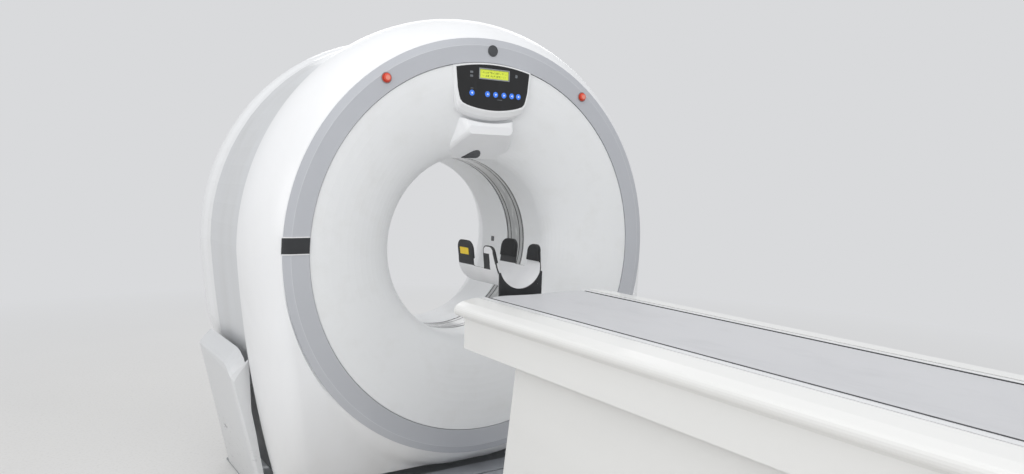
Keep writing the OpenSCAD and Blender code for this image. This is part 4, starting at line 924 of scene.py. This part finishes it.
facing_black = Finish("holder_facing", coat=0.1)
facing_black.two_tone("1d1e20", "2e2f32", facing_black.noise(40, detail=5), 0.35, 0.2, 0.0003, 0.3,
                      facing_black.noise(600))
foot_z, foot_x, foot_front, foot_back = -0.1545, 0.0905, -0.2260, -0.2201
foot_shape = [(trough_r * cos(radians(turn)), trough_z + trough_r * sin(radians(turn)))
              for turn in range(200, 341, 5)]
foot_side = [(holder_r * cos(radians(20)), trough_z - holder_r * sin(radians(20))), (foot_x, foot_z + 0.006),
             (foot_x - 0.002, foot_z + 0.002), (foot_x - 0.006, foot_z)]
foot_shape += foot_side + [(-x, z) for x, z in foot_side[::-1]]
facing = bmesh.new()
loft(facing, [[facing.verts.new(gantry(x, y, z)) for x, z in foot_shape] for y in (foot_front, foot_back)])
build("holder_facing", facing, "cradle", facing_black, 20)
carrier = bmesh.new()
add_slab(carrier, rounded(0.180, 0.0265, 0.004, (0, -0.1680)), -0.2215, -0.2830, 0.002)
add_slab(carrier, rounded(0.100, 0.0190, 0.003, (0, -0.1720)), -0.2800, -0.4120, 0.003)
build("holder_carrier", carrier, "cradle", facing_black, 30)
latch_x, latch_z, along_x, along_z = 0.0705, -0.103, 0.8, 0.6
latch_shape = [(latch_x + x * along_x - z * along_z, latch_z + x * along_z + z * along_x)
               for x, z in rounded(0.0035, 0.013, 0.0012)]
latch = bmesh.new()
add_slab(latch, latch_shape, -0.2256, -0.2285, 0.0008)
build("holder_latch", latch, "cradle", shell_coat, 30)

# Black foam pads line the inside of the ears, cut from skinned sheet foam with round tops. The foam
# bulges between its glued edges.
pad_foam = Finish("ear_pad_foam")
cells = pad_foam.node("ShaderNodeTexVoronoi", {}, {"Vector": pad_foam.place(), "Scale": 900.0})
rub = pad_foam.noise(30, detail=5).above(0.5, 0.3)
pad_foam.surface(pad_foam.mix("1c1d1e", "343537", rub * 0.5), 0.68 + 0.15 * rub, cells, 0.0008, 0.5)
dress(pad_foam, "head_pads")
pad_in, pad_out, pad_rim, foot_round, trim = 0.0070, 0.0003, 0.0022, 0.004, 0.001


def ear_shape(y_start, y_end, z_low, z_high, round_top, steps=9, spacing=0.008):
    """Outline (y, z) of a pad: nearly square below, with large round corners at its top."""
    shape = []
    for quarter, y_side, z_side, r in ((0, 1, 1, round_top), (90, -1, 1, round_top),
                                       (180, -1, -1, foot_round), (270, 1, -1, foot_round)):
        corner_y = (y_end - r) if y_side > 0 else (y_start + r)
        corner_z = (z_high - r) if z_side > 0 else (z_low + r)
        for k in range(steps):
            turn = radians(quarter + 90 * k / (steps - 1))
            shape.append((corner_y + r * cos(turn), corner_z + r * sin(turn)))
    dense = []
    for (y, z), (next_y, next_z) in zip(shape, shape[1:] + shape[:1]):
        parts = max(1, round(sqrt((next_y - y) ** 2 + (next_z - z) ** 2) / spacing))
        dense += [(y + (next_y - y) * part / parts, z + (next_z - z) * part / parts) for part in range(parts)]
    return dense


def add_pillow(mesh, shape, x_in, x_out, edge):
    """Adds a cushion with the outline (y, z) between two x places. Its rims are round, and it leans out."""
    mid_y = sum(y for y, z in shape) / len(shape)
    mid_z = sum(z for y, z in shape) / len(shape)
    way = 1 if x_out > x_in else -1
    crown_shares = (0.2, 0.4, 0.6, 0.8, 0.93)
    rows = [(x_in, share) for share in crown_shares]
    rows += [(x_in + way * edge * 0.3, 0.98), (x_in + way * edge, 1.0), (x_out - way * edge, 1.0),
             (x_out - way * edge * 0.3, 0.98)]
    rows += [(x_out, share) for share in crown_shares[::-1]]

    def point(x, y, z):
        return mesh.verts.new(gantry(x + way * max(0, z - trough_z) * lean_out, y, z))

    made = [[point(x, mid_y + (y - mid_y) * share, mid_z + (z - mid_z) * share) for y, z in shape]
            for x, share in rows]
    join_rings(mesh, made)
    for row, x in ((made[0], x_in), (made[-1], x_out)):
        tip = point(x, mid_y, mid_z)
        for k in range(len(shape)):
            mesh.faces.new((tip, row[k], row[(k + 1) % len(shape)]))


cushions = bmesh.new()
for side in (-1, 1):
    for ear in ((near_start + trim, near_end - trim, -0.030, ear_top - trim, near_round - trim),
                (far_start + trim, far_end - trim, -0.029, ear_top + far_rise - trim, far_round - trim)):
        shape = [(y - max(0, 0.002 - z) * near_slant * (y < -0.17), z) for y, z in ear_shape(*ear)]
        add_pillow(cushions, shape, side * (trough_r - pad_in), side * (trough_r + pad_out), pad_rim)
pads = build("ear_pads", cushions, "cradle", pad_foam, 60)
swell(pads, 0.0012, pressure=3.0, frames=8)
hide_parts("head_pads")

# A plain yellow patch is stuck on the outside of the far ear. It is bare vinyl film, cut with round
# corners.
patch_yellow = Finish("patch_yellow", coat=0.15)
patch_yellow.two_tone("e6c21c", "f0d23a", patch_yellow.noise(70, detail=5), 0.35, 0.15, 0.0002, 0.2)
patch = bmesh.new()
loft(patch, [[patch.verts.new(gantry(-holder_r - out - (z - trough_z) * lean_out, y, z))
              for y, z in rounded(0.061, 0.025, 0.002, (0.005, -0.004))] for out in (0.0006, -0.0004)])
build("ear_patch", patch, "cradle", patch_yellow, 20)
